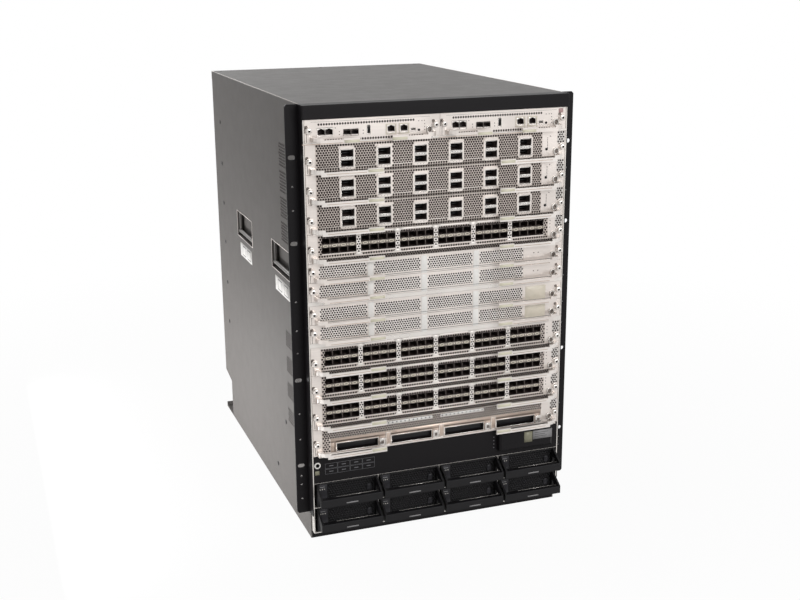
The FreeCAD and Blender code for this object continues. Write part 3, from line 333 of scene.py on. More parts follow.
@dataclass(frozen=True)
class Perforation:
    """A sheet with staggered six-sided holes, each cell a rectangle round one hole."""
    pitch: float = 4.2
    hole: float = 3.2
    sheet: float = 0.45
    look: Look = Look.MESH_STEEL
    # The floor's colour is painted shade: a dark sheet just under each hole, where the inside would
    # show.
    floor: Look = Look.DARK
    hole_floor: float = 0.06

    def over(self, area: Area, openings: Sequence[Area] = ()) -> Surface:
        """Perforated rectangle: rows pitch * sqrt(3)/2 apart, odd rows moved on by half a pitch.

        A cell joins six points of its own rectangle to the hole's six corners, which go down to
        the hole's floor. Cells whose middle lies in an opening are left out, and plain half cells
        close both ends of the odd rows.

        Args:
            area: (u0, u1, v0, v1) of the rectangle to fill.
            openings: rectangles that the sheet leaves free.
        Returns:
            The sheet, with a dark floor in each hole, painted shade of the inside seen through it.
        """
        u0, u1, v0, v1 = area
        rows = max(1, round((v1 - v0) / (self.pitch * math.sqrt(0.75))))
        columns = max(2, round((u1 - u0) / self.pitch))
        w, h = (u1 - u0) / columns, (v1 - v0) / rows
        row, column = np.mgrid[0:rows, 0:columns]
        odd = row % 2
        kept = (odd == 0) | (column < columns - 1)
        u = u0 + (column + 0.5 + 0.5 * odd) * w
        v = v0 + (row + 0.5) * h
        for a, b, c, d in openings:
            kept &= ~((u > a) & (u < b) & (v > c) & (v < d))
        cells = np.column_stack([u[kept], v[kept], np.zeros(kept.sum())])
        half_cells = grid_of((u0 + w / 4, u1 - w / 4), v0 + (np.arange(1, rows, 2) + 0.5) * h)
        cell = np.array([[1, -1], [1, 1], [0, 1], [-1, 1], [-1, -1], [0, -1]]) * (w / 2, h / 2)
        angle = np.radians(np.arange(-30, 330, 60))
        hexagon = np.column_stack([np.cos(angle), np.sin(angle)]) * self.hole / math.sqrt(3)
        hole = stacked([(cell, self.sheet), (hexagon, self.sheet), (hexagon, self.hole_floor)],
                       [self.look], self.floor)
        edge = rectangle(u1 - u0, v1 - v0, (u0 + u1) / 2, (v0 + v1) / 2)
        parts = [stacked([(edge, 0.0), (edge, self.sheet)], [self.look]).walls(), hole.at(cells)]
        if len(half_cells):
            parts.append(leaf(rectangle(w / 2, h), self.sheet, self.look).at(half_cells))
        return Surface.joined(parts)


# ---------------------------------------------------------------- finishes

class Shader:
    """Short way to add nodes to one material."""

    def __init__(self, name: str) -> None:
        """Start a material with its surface shader and object coordinates.

        Args:
            name: name of the material.
        """
        self.material = bpy.data.materials.new(name)
        self.material.use_nodes = True
        self.tree = self.material.node_tree
        self.surface = self.tree.nodes["Principled BSDF"]
        self.coordinates = self.tree.nodes.new("ShaderNodeTexCoord").outputs["Object"]

    def node(self, kind: str, inputs: dict | None = None, **settings: object) -> bpy.types.Node:
        """Add a node, set its settings, and link or set its inputs.

        Args:
            kind: node type without the ShaderNode prefix.
            inputs: input name or number to a value or to another node's output.
            settings: attributes of the node itself.
        Returns:
            The new node.
        """
        made = self.tree.nodes.new("ShaderNode" + kind)
        for key, value in settings.items():
            setattr(made, key, value)
        for key, value in (inputs or {}).items():
            if isinstance(value, bpy.types.NodeSocket):
                self.tree.links.new(value, made.inputs[key])
            else:
                made.inputs[key].default_value = value
        return made

    def set(self, **values: object) -> None:
        """Set or link inputs of the surface shader.

        Args:
            values: input names, with underscores for spaces, to values or other nodes' outputs.
        """
        for key, value in values.items():
            socket = self.surface.inputs[key.replace("_", " ")]
            if isinstance(value, bpy.types.NodeSocket):
                self.tree.links.new(value, socket)
            else:
                socket.default_value = value

    def maths(self, kind: str, a: object, b: object = 0.0) -> bpy.types.NodeSocket:
        """Result of a Math node on two sockets or numbers."""
        return self.node("Math", {0: a, 1: b}, operation=kind).outputs[0]

    def noise(self, scale: float, detail: float = 3.0,
              stretch: Place = (1.0, 1.0, 1.0)) -> bpy.types.NodeSocket:
        """Noise at a scale in cycles per metre, stretched per axis."""
        mapped = self.node("Mapping", {"Vector": self.coordinates, "Scale": stretch}).outputs[0]
        return self.node("TexNoise", {"Vector": mapped, "Scale": scale,
                                      "Detail": detail}).outputs[0]

    def between(self, factor: bpy.types.NodeSocket, low: float, high: float,
                start: float = 0.3, end: float = 0.7) -> bpy.types.NodeSocket:
        """Map a factor from start..end to low..high."""
        return self.node("MapRange", {0: factor, 1: start, 2: end, 3: low, 4: high}).outputs[0]

    def shades(self, factor: bpy.types.NodeSocket, dark: Colour, light: Colour,
               start: float = 0.3, end: float = 0.7) -> bpy.types.NodeSocket:
        """Colour between a dark and a light one as the factor goes from start to end.

        Args:
            factor: output that drives the ramp.
            dark: colour at the start.
            light: colour at the end.
            start: factor below which it is all dark.
            end: factor above which it is all light.
        Returns:
            The ramp's colour.
        """
        ramp = self.node("ValToRGB", {0: factor})
        low, high = ramp.color_ramp.elements
        low.position, high.position = start, end
        low.color, high.color = (*dark, 1), (*light, 1)
        return ramp.outputs[0]

    def bumps(self, height: bpy.types.NodeSocket, distance: float) -> bpy.types.NodeSocket:
        """Normal from a height, with its distance in metres."""
        return self.node("Bump", {"Height": height, "Distance": distance}).outputs[0]


def toned(colour: Colour, share: float) -> Colour:
    """A colour made lighter or darker by a share."""
    return tuple(min(1.0, c * share) for c in colour)


class Finish(Protocol):
    """What every finish can do."""

    def build(self, name: str) -> bpy.types.Material:
        """Make the material.

        Args:
            name: name of the material.
        Returns:
            The new material.
        """


@dataclass(frozen=True)
class PowderCoat:
    """Baked powder paint with a fine orange-peel grain and faint handling marks."""
    colour: Colour
    rough: float = 0.5
    gloss: float = 0.4
    spread: float = 0.025
    grain: float = 1300.0
    depth: float = 0.00007

    def build(self, name: str) -> bpy.types.Material:
        """Make the material.

        Args:
            name: name of the material.
        Returns:
            The new material.
        """
        s = Shader(name)
        s.set(Base_Color=s.shades(s.noise(3.0, 5.0), toned(self.colour, 1 - self.spread),
                                  toned(self.colour, 1 + self.spread)))
        s.set(Roughness=s.between(s.noise(40.0, 5.0), self.rough - 0.03, self.rough + 0.03))
        s.set(Normal=s.bumps(s.noise(self.grain, 2.0), self.depth))
        s.set(Specular_IOR_Level=self.gloss)
        return s.material


@dataclass(frozen=True)
class RolledSteel:
    """Plated sheet steel with fine rolling streaks and cloudy reflections."""
    colour: Colour
    metal: float = 0.5
    rough: float = 0.34
    streak: Place = (0.01, 0.01, 1.0)

    def build(self, name: str) -> bpy.types.Material:
        """Make the material.

        Args:
            name: name of the material.
        Returns:
            The new material.
        """
        s = Shader(name)
        lines = s.noise(2600.0, 4.0, self.streak)
        cloud = s.noise(16.0)
        mixed = s.maths("MULTIPLY", lines, cloud)
        s.set(Base_Color=s.shades(mixed, toned(self.colour, 0.9), toned(self.colour, 1.05),
                                  0.15, 0.4))
        s.set(Roughness=s.between(cloud, self.rough - 0.06, self.rough + 0.08))
        s.set(Normal=s.bumps(lines, 0.00002), Metallic=self.metal, Anisotropic=0.3)
        return s.material


@dataclass(frozen=True)
class SpangledZinc:
    """Hot-dip zinc: flat crystals of slightly different shade."""
    colour: Colour
    crystal: float = 130.0

    def build(self, name: str) -> bpy.types.Material:
        """Make the material.

        Args:
            name: name of the material.
        Returns:
            The new material.
        """
        s = Shader(name)
        cells = s.node("TexVoronoi", {"Vector": s.coordinates, "Scale": self.crystal})
        grey = s.node("RGBToBW", {0: cells.outputs["Color"]}).outputs[0]
        s.set(Base_Color=s.shades(grey, toned(self.colour, 0.85), toned(self.colour, 1.08), 0.1,
                                  0.9))
        s.set(Roughness=s.between(grey, 0.34, 0.48, 0.0, 1.0), Metallic=0.85)
        s.set(Normal=s.bumps(s.noise(900.0), 0.00002))
        return s.material


@dataclass(frozen=True)
class Moulded:
    """Moulded plastic with a spark-eroded grain."""
    colour: Colour
    rough: float = 0.45
    gloss: float = 0.2
    depth: float = 0.00004

    def build(self, name: str) -> bpy.types.Material:
        """Make the material.

        Args:
            name: name of the material.
        Returns:
            The new material.
        """
        s = Shader(name)
        s.set(Base_Color=s.shades(s.noise(25.0, 4.0), toned(self.colour, 0.88),
                                  toned(self.colour, 1.12)))
        s.set(Roughness=s.between(s.noise(300.0), self.rough - 0.08, self.rough + 0.08))
        s.set(Normal=s.bumps(s.noise(2400.0, 1.0), self.depth), Specular_IOR_Level=self.gloss)
        return s.material


@dataclass(frozen=True)
class SupplyCase:
    """Black moulded front with a plain plated case behind it; split is metres along Y."""
    colour: Colour
    metal_colour: Colour
    split: float

    def build(self, name: str) -> bpy.types.Material:
        """Make the material.

        Args:
            name: name of the material.
        Returns:
            The new material.
        """
        s = Shader(name)
        y = s.node("SeparateXYZ", {0: s.coordinates}).outputs["Y"]
        case = s.maths("GREATER_THAN", y, self.split)
        tone = s.noise(60.0, 4.0)
        front = s.shades(tone, toned(self.colour, 0.88), toned(self.colour, 1.12))
        back = s.shades(tone, toned(self.metal_colour, 0.92), self.metal_colour)
        mixed = s.node("Mix", {0: case}, data_type="RGBA")
        for source, socket in zip((front, back), [i for i in mixed.inputs if i.type == "RGBA"]):
            s.tree.links.new(source, socket)
        s.set(Base_Color=[o for o in mixed.outputs if o.type == "RGBA"][0], Metallic=case)
        s.set(Roughness=s.between(tone, 0.34, 0.46))
        s.set(Normal=s.bumps(s.noise(2000.0, 1.0), 0.00003), Specular_IOR_Level=0.2)
        return s.material


@dataclass(frozen=True)
class Printed:
    """Film label or paint print, smooth and slightly uneven in tone."""
    colour: Colour
    rough: float = 0.38

    def build(self, name: str) -> bpy.types.Material:
        """Make the material.

        Args:
            name: name of the material.
        Returns:
            The new material.
        """
        s = Shader(name)
        s.set(Base_Color=s.shades(s.noise(90.0, 5.0), toned(self.colour, 0.95),
                                  toned(self.colour, 1.03)))
        s.set(Roughness=s.between(s.noise(400.0), self.rough - 0.05, self.rough + 0.1))
        s.set(Normal=s.bumps(s.noise(700.0, 2.0), 0.00001))
        return s.material


@dataclass(frozen=True)
class Lens:
    """Light pipe or lamp that is off: clear-coated, cloudy resin."""
    colour: Colour

    def build(self, name: str) -> bpy.types.Material:
        """Make the material.

        Args:
            name: name of the material.
        Returns:
            The new material.
        """
        s = Shader(name)
        s.set(Base_Color=s.shades(s.noise(500.0, 2.0), toned(self.colour, 0.85), self.colour))
        s.set(Roughness=0.2, Coat_Weight=0.6, Coat_Roughness=0.08)
        return s.material


@dataclass(frozen=True)
class BoardLaminate:
    """Green solder mask over copper: straight runs that change from cell to cell."""
    colour: Colour

    def build(self, name: str) -> bpy.types.Material:
        """Make the material.

        Args:
            name: name of the material.
        Returns:
            The new material.
        """
        s = Shader(name)
        cells = s.node("TexVoronoi", {"Vector": s.coordinates, "Scale": 45.0},
                       distance="CHEBYCHEV").outputs["Distance"]
        runs = s.node("TexWave", {"Vector": s.coordinates, "Scale": 120.0,
                                  "Distortion": 3.0}).outputs["Fac"]
        mask = s.maths("MULTIPLY", runs, cells)
        s.set(Base_Color=s.shades(mask, self.colour, toned(self.colour, 1.9), 0.25, 0.35))
        s.set(Roughness=0.28, Coat_Weight=0.4)
        s.set(Normal=s.bumps(mask, 0.00003))
        return s.material


CASE_SPLIT = -0.325
FINISHES: dict[Look, Finish] = {
    Look.SIDE_PAINT: PowderCoat((0.155, 0.146, 0.14), 0.5, 0.06, 0.012),
    Look.COVER_PAINT: PowderCoat((0.165, 0.157, 0.152), 0.45, 0.15, 0.012),
    Look.BLACK_PAINT: PowderCoat((0.009, 0.008, 0.009), 0.42, 0.12),
    Look.CARD_STEEL: RolledSteel((0.8, 0.735, 0.69)),
    Look.TIN_PLATE: RolledSteel((0.78, 0.74, 0.7), 0.6, 0.28),
    Look.LEVER_STEEL: RolledSteel((0.84, 0.79, 0.75), 0.4, 0.36),
    Look.BAIL_STEEL: RolledSteel((0.19, 0.18, 0.172), 0.3, 0.45, (1.0, 0.01, 0.01)),
    Look.MESH_STEEL: RolledSteel((0.6, 0.53, 0.485), 0.4, 0.4),
    Look.PALE_MESH: RolledSteel((0.85, 0.8, 0.76), 0.35, 0.4),
    # DARK_MESH is a darker steel; on the line cards' foot band it is painted shade.
    Look.DARK_MESH: RolledSteel((0.27, 0.235, 0.21), 0.4, 0.45),
    Look.CAGE_STEEL: RolledSteel((0.17, 0.145, 0.13), 0.5, 0.4),
    # TAN_STEEL is steel browned and darkened; on the bay card's plates it is painted shade.
    Look.TAN_STEEL: RolledSteel((0.56, 0.45, 0.38), 0.5, 0.3),
    Look.NICKEL: RolledSteel((0.62, 0.59, 0.56), 0.8, 0.25),
    Look.ZINC: SpangledZinc((0.52, 0.53, 0.54)),
    Look.DARK: Moulded((0.016, 0.010, 0.009), 0.6),
    Look.SHADE: Moulded((0.055, 0.042, 0.04), 0.5),
    Look.BLACK_PLASTIC: Moulded((0.009, 0.0085, 0.0095), 0.36, 0.2),
    Look.GREY_PLASTIC: Moulded((0.026, 0.025, 0.029), 0.4),
    Look.SUPPLY_CASE: SupplyCase((0.009, 0.0085, 0.0095), (0.55, 0.55, 0.54), CASE_SPLIT),
    Look.FAN_PLASTIC: Moulded((0.02, 0.02, 0.022), 0.5),
    Look.WHITE_FILM: Printed((0.9, 0.88, 0.85)),
    Look.CREAM_FILM: Printed((0.74, 0.68, 0.57)),
    Look.TIP_FILM: Printed((0.8, 0.76, 0.6)),
    Look.GREY_FILM: Printed((0.27, 0.265, 0.27)),
    Look.PINK_FILM: Printed((0.5, 0.33, 0.32)),
    Look.OLIVE_FILM: Printed((0.24, 0.23, 0.16)),
    Look.LINE_FILM: Printed((0.1, 0.098, 0.1)),
    Look.GRID_FILM: Printed((0.14, 0.14, 0.15)),
    Look.LAMP: Lens((0.06, 0.045, 0.04)),
    Look.CLEAR_LENS: Lens((0.75, 0.72, 0.66)),
    Look.BOARD: BoardLaminate((0.012, 0.07, 0.035)),
    Look.CHIP: Moulded((0.02, 0.02, 0.022), 0.55),
    Look.GOLD: RolledSteel((0.75, 0.55, 0.25), 0.9, 0.3),
}


class Palette:
    """Materials by look, each made once."""
    made: dict[Look, bpy.types.Material] = {}

    @classmethod
    def get(cls, look: Look) -> bpy.types.Material:
        """The material of a look, made when it is first asked for.

        Args:
            look: the look.
        Returns:
            Its material.
        """
        if look not in cls.made:
            cls.made[look] = FINISHES[look].build(look.name.lower())
        return cls.made[look]


def dress(node: str, look: Look) -> None:
    """Give a solid of the frame a finish."""
    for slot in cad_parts[node].material_slots:
        slot.material = Palette.get(look)


def make_piece(name: str, parts: Sequence[Surface], body: str) -> None:
    """Join surfaces into a mesh object that moves with a body.

    Args:
        name: the piece's name.
        parts: surfaces in millimetres, in place.
        body: body that the piece rides on.
    """
    whole = Surface.joined(parts)
    corners = np.concatenate([whole.quads.ravel(), whole.tris.ravel()]).astype(np.int32)
    totals = np.repeat([4, 3], [len(whole.quads), len(whole.tris)]).astype(np.int32)
    used, index = np.unique(np.concatenate([whole.quad_looks, whole.tri_looks]),
                            return_inverse=True)
    mesh = bpy.data.meshes.new(name)
    mesh.vertices.add(len(whole.points))
    mesh.vertices.foreach_set("co", (whole.points * MM).astype(np.float32).ravel())
    mesh.loops.add(len(corners))
    mesh.loops.foreach_set("vertex_index", corners)
    mesh.polygons.add(len(totals))
    mesh.polygons.foreach_set("loop_start", (np.cumsum(totals) - totals).astype(np.int32))
    mesh.polygons.foreach_set("material_index", index.astype(np.int32).ravel())
    for look in used:
        mesh.materials.append(Palette.get(Look(int(look))))
    mesh.update(calc_edges=True)
    mesh.validate()
    piece = bpy.data.objects.new(name, mesh)
    bpy.context.scene.collection.objects.link(piece)
    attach(piece, body)
    log.info("%s: %d faces on %s", name, len(totals), body)


# ---------------------------------------------------------------- places read from the frame

def low(node: str) -> np.ndarray:
    """Lowest corner of a node at rest, in millimetres."""
    return np.array(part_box(node)[0]) / MM


def high(node: str) -> np.ndarray:
    """Highest corner of a node at rest, in millimetres."""
    return np.array(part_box(node)[1]) / MM


# Outer face of the side panels, their rear edge, the plane that the cards' faces lie in and half the
# width of a faceplate.
HALF = high("right_side_panel")[0]
REAR = high("right_side_panel")[1]
FACE = low("card_cage")[1]
FACE_HALF = high("line_card_1")[0]
JOINT_GAP = 0.3
DOT_POINTS = 10

# Heights of flat marks, lamps and films over the face that they lie on.
SKIN = 0.05
LAMP_SKIN = 0.06
FILM = 0.15


def slot_bottom(card: str) -> float:
    """Bottom of a card's slot, a joint's gap under its faceplate."""
    return low(card)[2] - JOINT_GAP


def dots(spots: Sequence[tuple[float, float]], radius: float, look: Look,
         height: float = LAMP_SKIN) -> Surface:
    """Flat round spots at (u, v) places, a little above the face."""
    return leaf(disc(radius, DOT_POINTS), height, look).at([(u, v, 0) for u, v in spots])


def row_at(us: Iterable[float], v: float = 0.0, w: float = 0.0) -> list[Place]:
    """Places in a row, one for each u, all at the same v and w."""
    return [(u, v, w) for u in us]


# ---------------------------------------------------------------- cards

@dataclass(frozen=True)
class CaptiveScrew:
    """Knurled thumb screw over a card's plain screw head, with a dark spot of painted shade beside it.
    """
    radius: float = 4.65
    tooth: float = 0.35
    teeth: int = 14
    proud: float = 5.95
    collar: float = 5.4
    collar_height: float = 0.9
    barrel_foot: float = 0.6
    taper: float = 0.8
    driver: float = 1.9
    dark_spot: tuple[float, float] = (5.0, 4.6)
    dark_spot_place: Place = (-3.4, 5.6, 0.0)

    def build(self) -> Surface:
        """Make a collar, a knurled barrel that draws in to a flat end, a flat dark disc for its recess
        and the dark spot, both painted shade.

        Returns:
            The head about its own axis, with the plate at height 0.
        """
        grip = knurled(self.radius, self.tooth, self.teeth)
        end = disc(self.radius - self.taper, len(grip))
        barrel = stacked([(grip, self.barrel_foot), (grip, self.proud - self.taper),
                          (end, self.proud)], [Look.TIN_PLATE])
        washer = pad(disc(self.collar), self.collar_height, Look.CARD_STEEL, 0.2)
        # Painted shade: the recess is a flat dark disc on the screw's flat end.
        recess = leaf(disc(self.driver, 12), self.proud + 0.02, Look.DARK)
        # Painted shade: a flat dark patch above-left of the screw.
        dark_spot = leaf(superellipse(*self.dark_spot, 3.0, 12), SKIN, Look.CAGE_STEEL).at([self.dark_spot_place])
        return Surface.joined([washer, barrel, recess, dark_spot])


@dataclass(frozen=True)
class BoardPopulation:
    """Circuit board on a card's tray: laminate with rows of square packages on gold legs.

    Margins run from the card's face and from its rear end, and rows from the board's own ends. A
    column of packages takes the width that room gives.
    """
    front: float = 27.0
    back: float = 14.0
    rise: float = 8.7
    laminate: float = 0.12
    edge: float = 1.0
    package: tuple[float, float] = (13.0, 17.0)
    package_height: float = 1.5
    legs: tuple[float, float] = (14.6, 15.0)
    legs_height: float = 0.5
    rows_from_front: tuple[float, ...] = (30.0, 65.0)
    rows_from_back: tuple[float, ...] = (45.0, 20.0)
    pitch: float = 38.0
    room: float = 42.0

    def build(self, node: str, left: float, right: float) -> list[Surface]:
        """Lay the board and its packages on the card's tray.

        Args:
            node: the card.
            left: x of the board's left edge.
            right: x of its right edge.
        Returns:
            The surfaces in place on the chassis.
        """
        width, middle = right - left, (right + left) / 2
        front, back = FACE + self.front, high(node)[1] - self.back
        top = slot_bottom(node) + self.rise
        skin = pad(rectangle(width - 2 * self.edge, back - front, middle, (front + back) / 2),
                   self.laminate, Look.BOARD, 0.0, top)
        rows = [front + d for d in self.rows_from_front] + [back - d for d in self.rows_from_back]
        spots = grid_of(spread(max(2, int(width // self.room)), self.pitch, middle), rows)
        legs = pad(rectangle(*self.legs), self.legs_height, Look.GOLD, 0.0, top + 0.1)
        package = pad(rectangle(*self.package), self.package_height, Look.CHIP, 0.2, top + 0.1)
        return [skin.on(Side.TOP, [(0, 0, 0)]), legs.on(Side.TOP, spots),
                package.on(Side.TOP, spots)]


@dataclass(frozen=True)
class Card:
    """What every plug-in card carries: two screws, films on its lever tips and its board.

    Places on a face run from the slot's bottom centre, to the right and up. The clip and the
    gasket lie at the right screw, and the notch and the seam at the left one.
    """
    node: str
    screws: tuple[float, ...]
    screw_rise: float = 20.0
    tips: tuple[float, ...] = ()
    tip_film: tuple[float, float] = (24.4, 4.4)
    tip_front: float = 15.3
    tip_rise: float = 3.4
    groove: tuple[float, float] = (64.0, 1.1)
    groove_start: float = 14.0
    groove_drop: float = 1.6
    end_top: float = 45.4
    clip: tuple[float, float] = (9.4, 11.0)
    clip_wall: float = 1.6
    clip_height: float = 2.6
    clip_place: tuple[float, float] = (-10.0, -7.0)
    notch: tuple[float, float] = (3.0, 8.0)
    notch_place: tuple[float, float] = (-4.2, 1.0)
    seam: float = 0.7
    seam_place: float = -3.0
    seam_foot: float = 2.0
    seam_end: float = 4.0
    gasket: Perforation = Perforation(4.4, 3.2, 0.2, Look.NICKEL, Look.SHADE)
    gasket_sides: tuple[float, float] = (-8.0, 5.2)
    gasket_rise: float = 6.0
    gasket_gap: float = 0.6
    board_margin: float = 18.0

    def on_face(self, parts: Sequence[Surface]) -> list[Surface]:
        """Put surfaces that are drawn from the slot's bottom centre onto the card's face."""
        place = [(0.0, FACE, slot_bottom(self.node))]
        return [part.on(Side.FRONT, place) for part in parts]

    def ends(self) -> list[Surface]:
        """Make the clip and gasket at the right screw, and the notch and seam at the left one.

        Returns:
            The surfaces, drawn from the slot's bottom centre.
        """
        left, right = self.screws[0], self.screws[-1]
        rise = self.screw_rise
        wide, tall = self.clip
        wide_in, tall_in = wide - 2 * self.clip_wall, tall - 2 * self.clip_wall
        clip = frame_rim(superellipse(wide, tall, 3.0, 20), superellipse(wide_in, tall_in, 3.0, 20),
                         self.clip_height, Look.NICKEL)
        inside = leaf(superellipse(wide_in + 0.4, tall_in + 0.4, 3.0, 20), LAMP_SKIN,
                      Look.CAGE_STEEL)
        place = [(right + self.clip_place[0], rise + self.clip_place[1], 0)]
        notch = leaf(rectangle(*self.notch, left + self.notch_place[0],
                               rise + self.notch_place[1]), SKIN, Look.SHADE)
        seam = leaf(rectangle(self.seam, rise - self.seam_end - self.seam_foot,
                              left + self.seam_place,
                              (rise - self.seam_end + self.seam_foot) / 2), SKIN, Look.SHADE)
        parts = [clip.at(place), inside.at(place), notch, seam]
        if self.end_top > 2 * rise:
            parts.append(self.gasket.over((right + self.gasket_sides[0],
                                           right + self.gasket_sides[1],
                                           rise + self.gasket_rise,
                                           self.end_top - self.gasket_gap)))
        return parts

    def tip(self, u: float) -> Surface:
        """Make the pale film on a lever's tip and the groove along the strap beside it.

        Args:
            u: middle of the film; the groove lies further out on the same side.
        Returns:
            Both, drawn from the slot's bottom centre.
        """
        length, width = self.groove
        film = pad(rectangle(*self.tip_film, u, self.tip_rise), FILM, Look.TIP_FILM, 0.0,
                   self.tip_front)
        groove = leaf(rectangle(length, width,
                                u + math.copysign(self.groove_start + length / 2, u),
                                self.tip_rise - self.groove_drop), self.tip_front + 0.03,
                      Look.TAN_STEEL)
        return Surface.joined([film, groove])

    def trim(self) -> list[Surface]:
        """Screws, lever tip films and end fittings of the card itself."""
        heads = CaptiveScrew().build().at(row_at(self.screws, self.screw_rise))
        return [heads] + [self.tip(u) for u in self.tips] + self.ends()

    def face(self) -> list[Surface]:
        """Pieces of the card's own face."""
        return []

    def board_span(self) -> tuple[float, float]:
        """Left and right edges of the circuit board."""
        return -FACE_HALF + self.board_margin, FACE_HALF - self.board_margin

    def build(self) -> None:
        """Make the card's piece and give the solid its finish."""
        dress(self.node, Look.CARD_STEEL)
        board = BoardPopulation().build(self.node, *self.board_span())
        make_piece(self.node + "_face", self.on_face(self.trim() + self.face()) + board,
                   self.node)


@dataclass(frozen=True)
class LineCard(Card):
    """Full-width card with two levers that turn, each with its own film."""
    screws: tuple[float, ...] = (-211.0, 211.0)
    lever_tip: float = 110.5
    mesh: Perforation = Perforation()
    # The foot band's darker steel is painted shade, cast by the levers and the card above.
    foot_shade_mesh: Perforation = Perforation(4.2, 3.2, 0.3, Look.DARK_MESH, Look.DARK)
    foot_area: Area = (-201.0, 201.0, 0.5, 5.4)

    def foot_shade_band(self) -> Surface:
        """Perforated flange along the card's foot, behind the levers, in darker steel as painted shade
        from the levers and the card above.
        """
        return self.foot_shade_mesh.over(self.foot_area)

    def build(self) -> None:
        """Make the card's face and a tip film for each lever."""
        super().build()
        for side, sign in (("left", -1), ("right", 1)):
            lever = f"{self.node}_{side}_lever"
            dress(lever, Look.LEVER_STEEL)
            make_piece(lever + "_tip", self.on_face([self.tip(sign * self.lever_tip)]), lever)


@dataclass(frozen=True)
class WindowCard(LineCard):
    """Line card with honeycomb between six windows of two wide ports.

    Rows of ports are given over the window's foot, and parts of a port from its own centre.
    """
    area: Area = (-201.0, 176.5, 5.4, 44.9)
    window: tuple[float, float] = (26.0, 35.1)
    foot: float = 5.1
    proud: float = 1.6
    pitch: float = 59.6
    centre: float = -2.9
    port: tuple[float, float] = (20.0, 11.6)
    port_rows: tuple[float, float] = (4.0, 19.5)
    port_depth: float = 21.0
    mouth_gap: float = 0.3
    lip: float = 0.7
    lip_height: float = 0.35
    tongue: tuple[float, float] = (14.0, 1.6)
    tongue_drop: float = 1.2
    tongue_length: float = 8.0
    tongue_foot: float = -18.0
    spring: tuple[float, float] = (17.0, 0.8)
    strip_height: float = 3.2
    lamp_pitch: float = 4.4
    mark_rise: float = 2.0
    mark_pitch: float = 5.0
    fold: tuple[float, float] = (0.9, 0.8)
    fold_place: tuple[float, float] = (-12.2, 9.6)
    end_lamps: tuple[float, float] = (186.0, 27.2)
    end_lamp_pitch: float = 2.45
    button: tuple[float, float] = (184.3, 16.9)
    status_lamp: tuple[float, float] = (190.7, 37.3)

    def port_lining(self) -> Surface:
        """Make the dark cage inside a port, a bright lip, a contact block and a spring.

        Returns:
            The lining about the port's centre.
        """
        width, height = self.port
        mouth = rectangle(width - self.mouth_gap, height - self.mouth_gap)
        lip = frame_rim(grown(mouth, self.lip), mouth, self.lip_height, Look.NICKEL, self.proud)
        hollow = well(mouth, self.proud + 0.1, self.port_depth, Look.SHADE, Look.DARK)
        tongue = pad(rectangle(*self.tongue, 0, -self.tongue_drop), self.tongue_length,
                     Look.BLACK_PLASTIC, 0.2, self.tongue_foot)
        spring = leaf(rectangle(*self.spring, 0, height / 2 - 1.0), -1.0, Look.NICKEL)
        return Surface.joined([lip, hollow, tongue, spring])

    def face(self) -> list[Surface]:
        """Make honeycomb, ports, the strips between ports, and the right end with its lamps.

        Returns:
            The surfaces, drawn from the slot's bottom centre.
        """
        middles = spread(6, self.pitch, self.centre)
        half = self.window[0] / 2
        gaps = [(u - half, u + half, self.foot, self.foot + self.window[1]) for u in middles]
        width, height = self.port
        ports = grid_of(middles, [self.foot + row + height / 2 for row in self.port_rows])
        between = self.foot + (self.port_rows[0] + height + self.port_rows[1]) / 2
        strip = Surface.joined([
            pad(rectangle(width, self.strip_height), 0.25, Look.WHITE_FILM, 0.0, self.proud),
            dots([(s, 0.0) for s in spread(4, self.lamp_pitch)], 0.55, Look.LAMP,
                 self.proud + 0.3)])
        marks = dots([(u + s, self.foot + self.mark_rise) for u in middles
                      for s in spread(3, self.mark_pitch)], 0.5, Look.LAMP, self.proud + SKIN)
        fold = pad(rectangle(self.area[1] - self.area[0], self.fold[0], *self.fold_place),
                   self.fold[1], Look.CARD_STEEL)
        lamp_u, lamp_v = self.end_lamps
        lamps = dots([(lamp_u, v) for v in spread(7, self.end_lamp_pitch, lamp_v)], 0.75,
                     Look.LAMP)
        button = pad(disc(2.3), 0.8, Look.BLACK_PLASTIC, 0.3).at([(*self.button, 0)])
        return [self.mesh.over(self.area, gaps), self.port_lining().at(ports),
                strip.at(row_at(middles, between)), self.foot_shade_band(), marks, fold, lamps,
                button, dots([self.status_lamp], 0.9, Look.LAMP)]


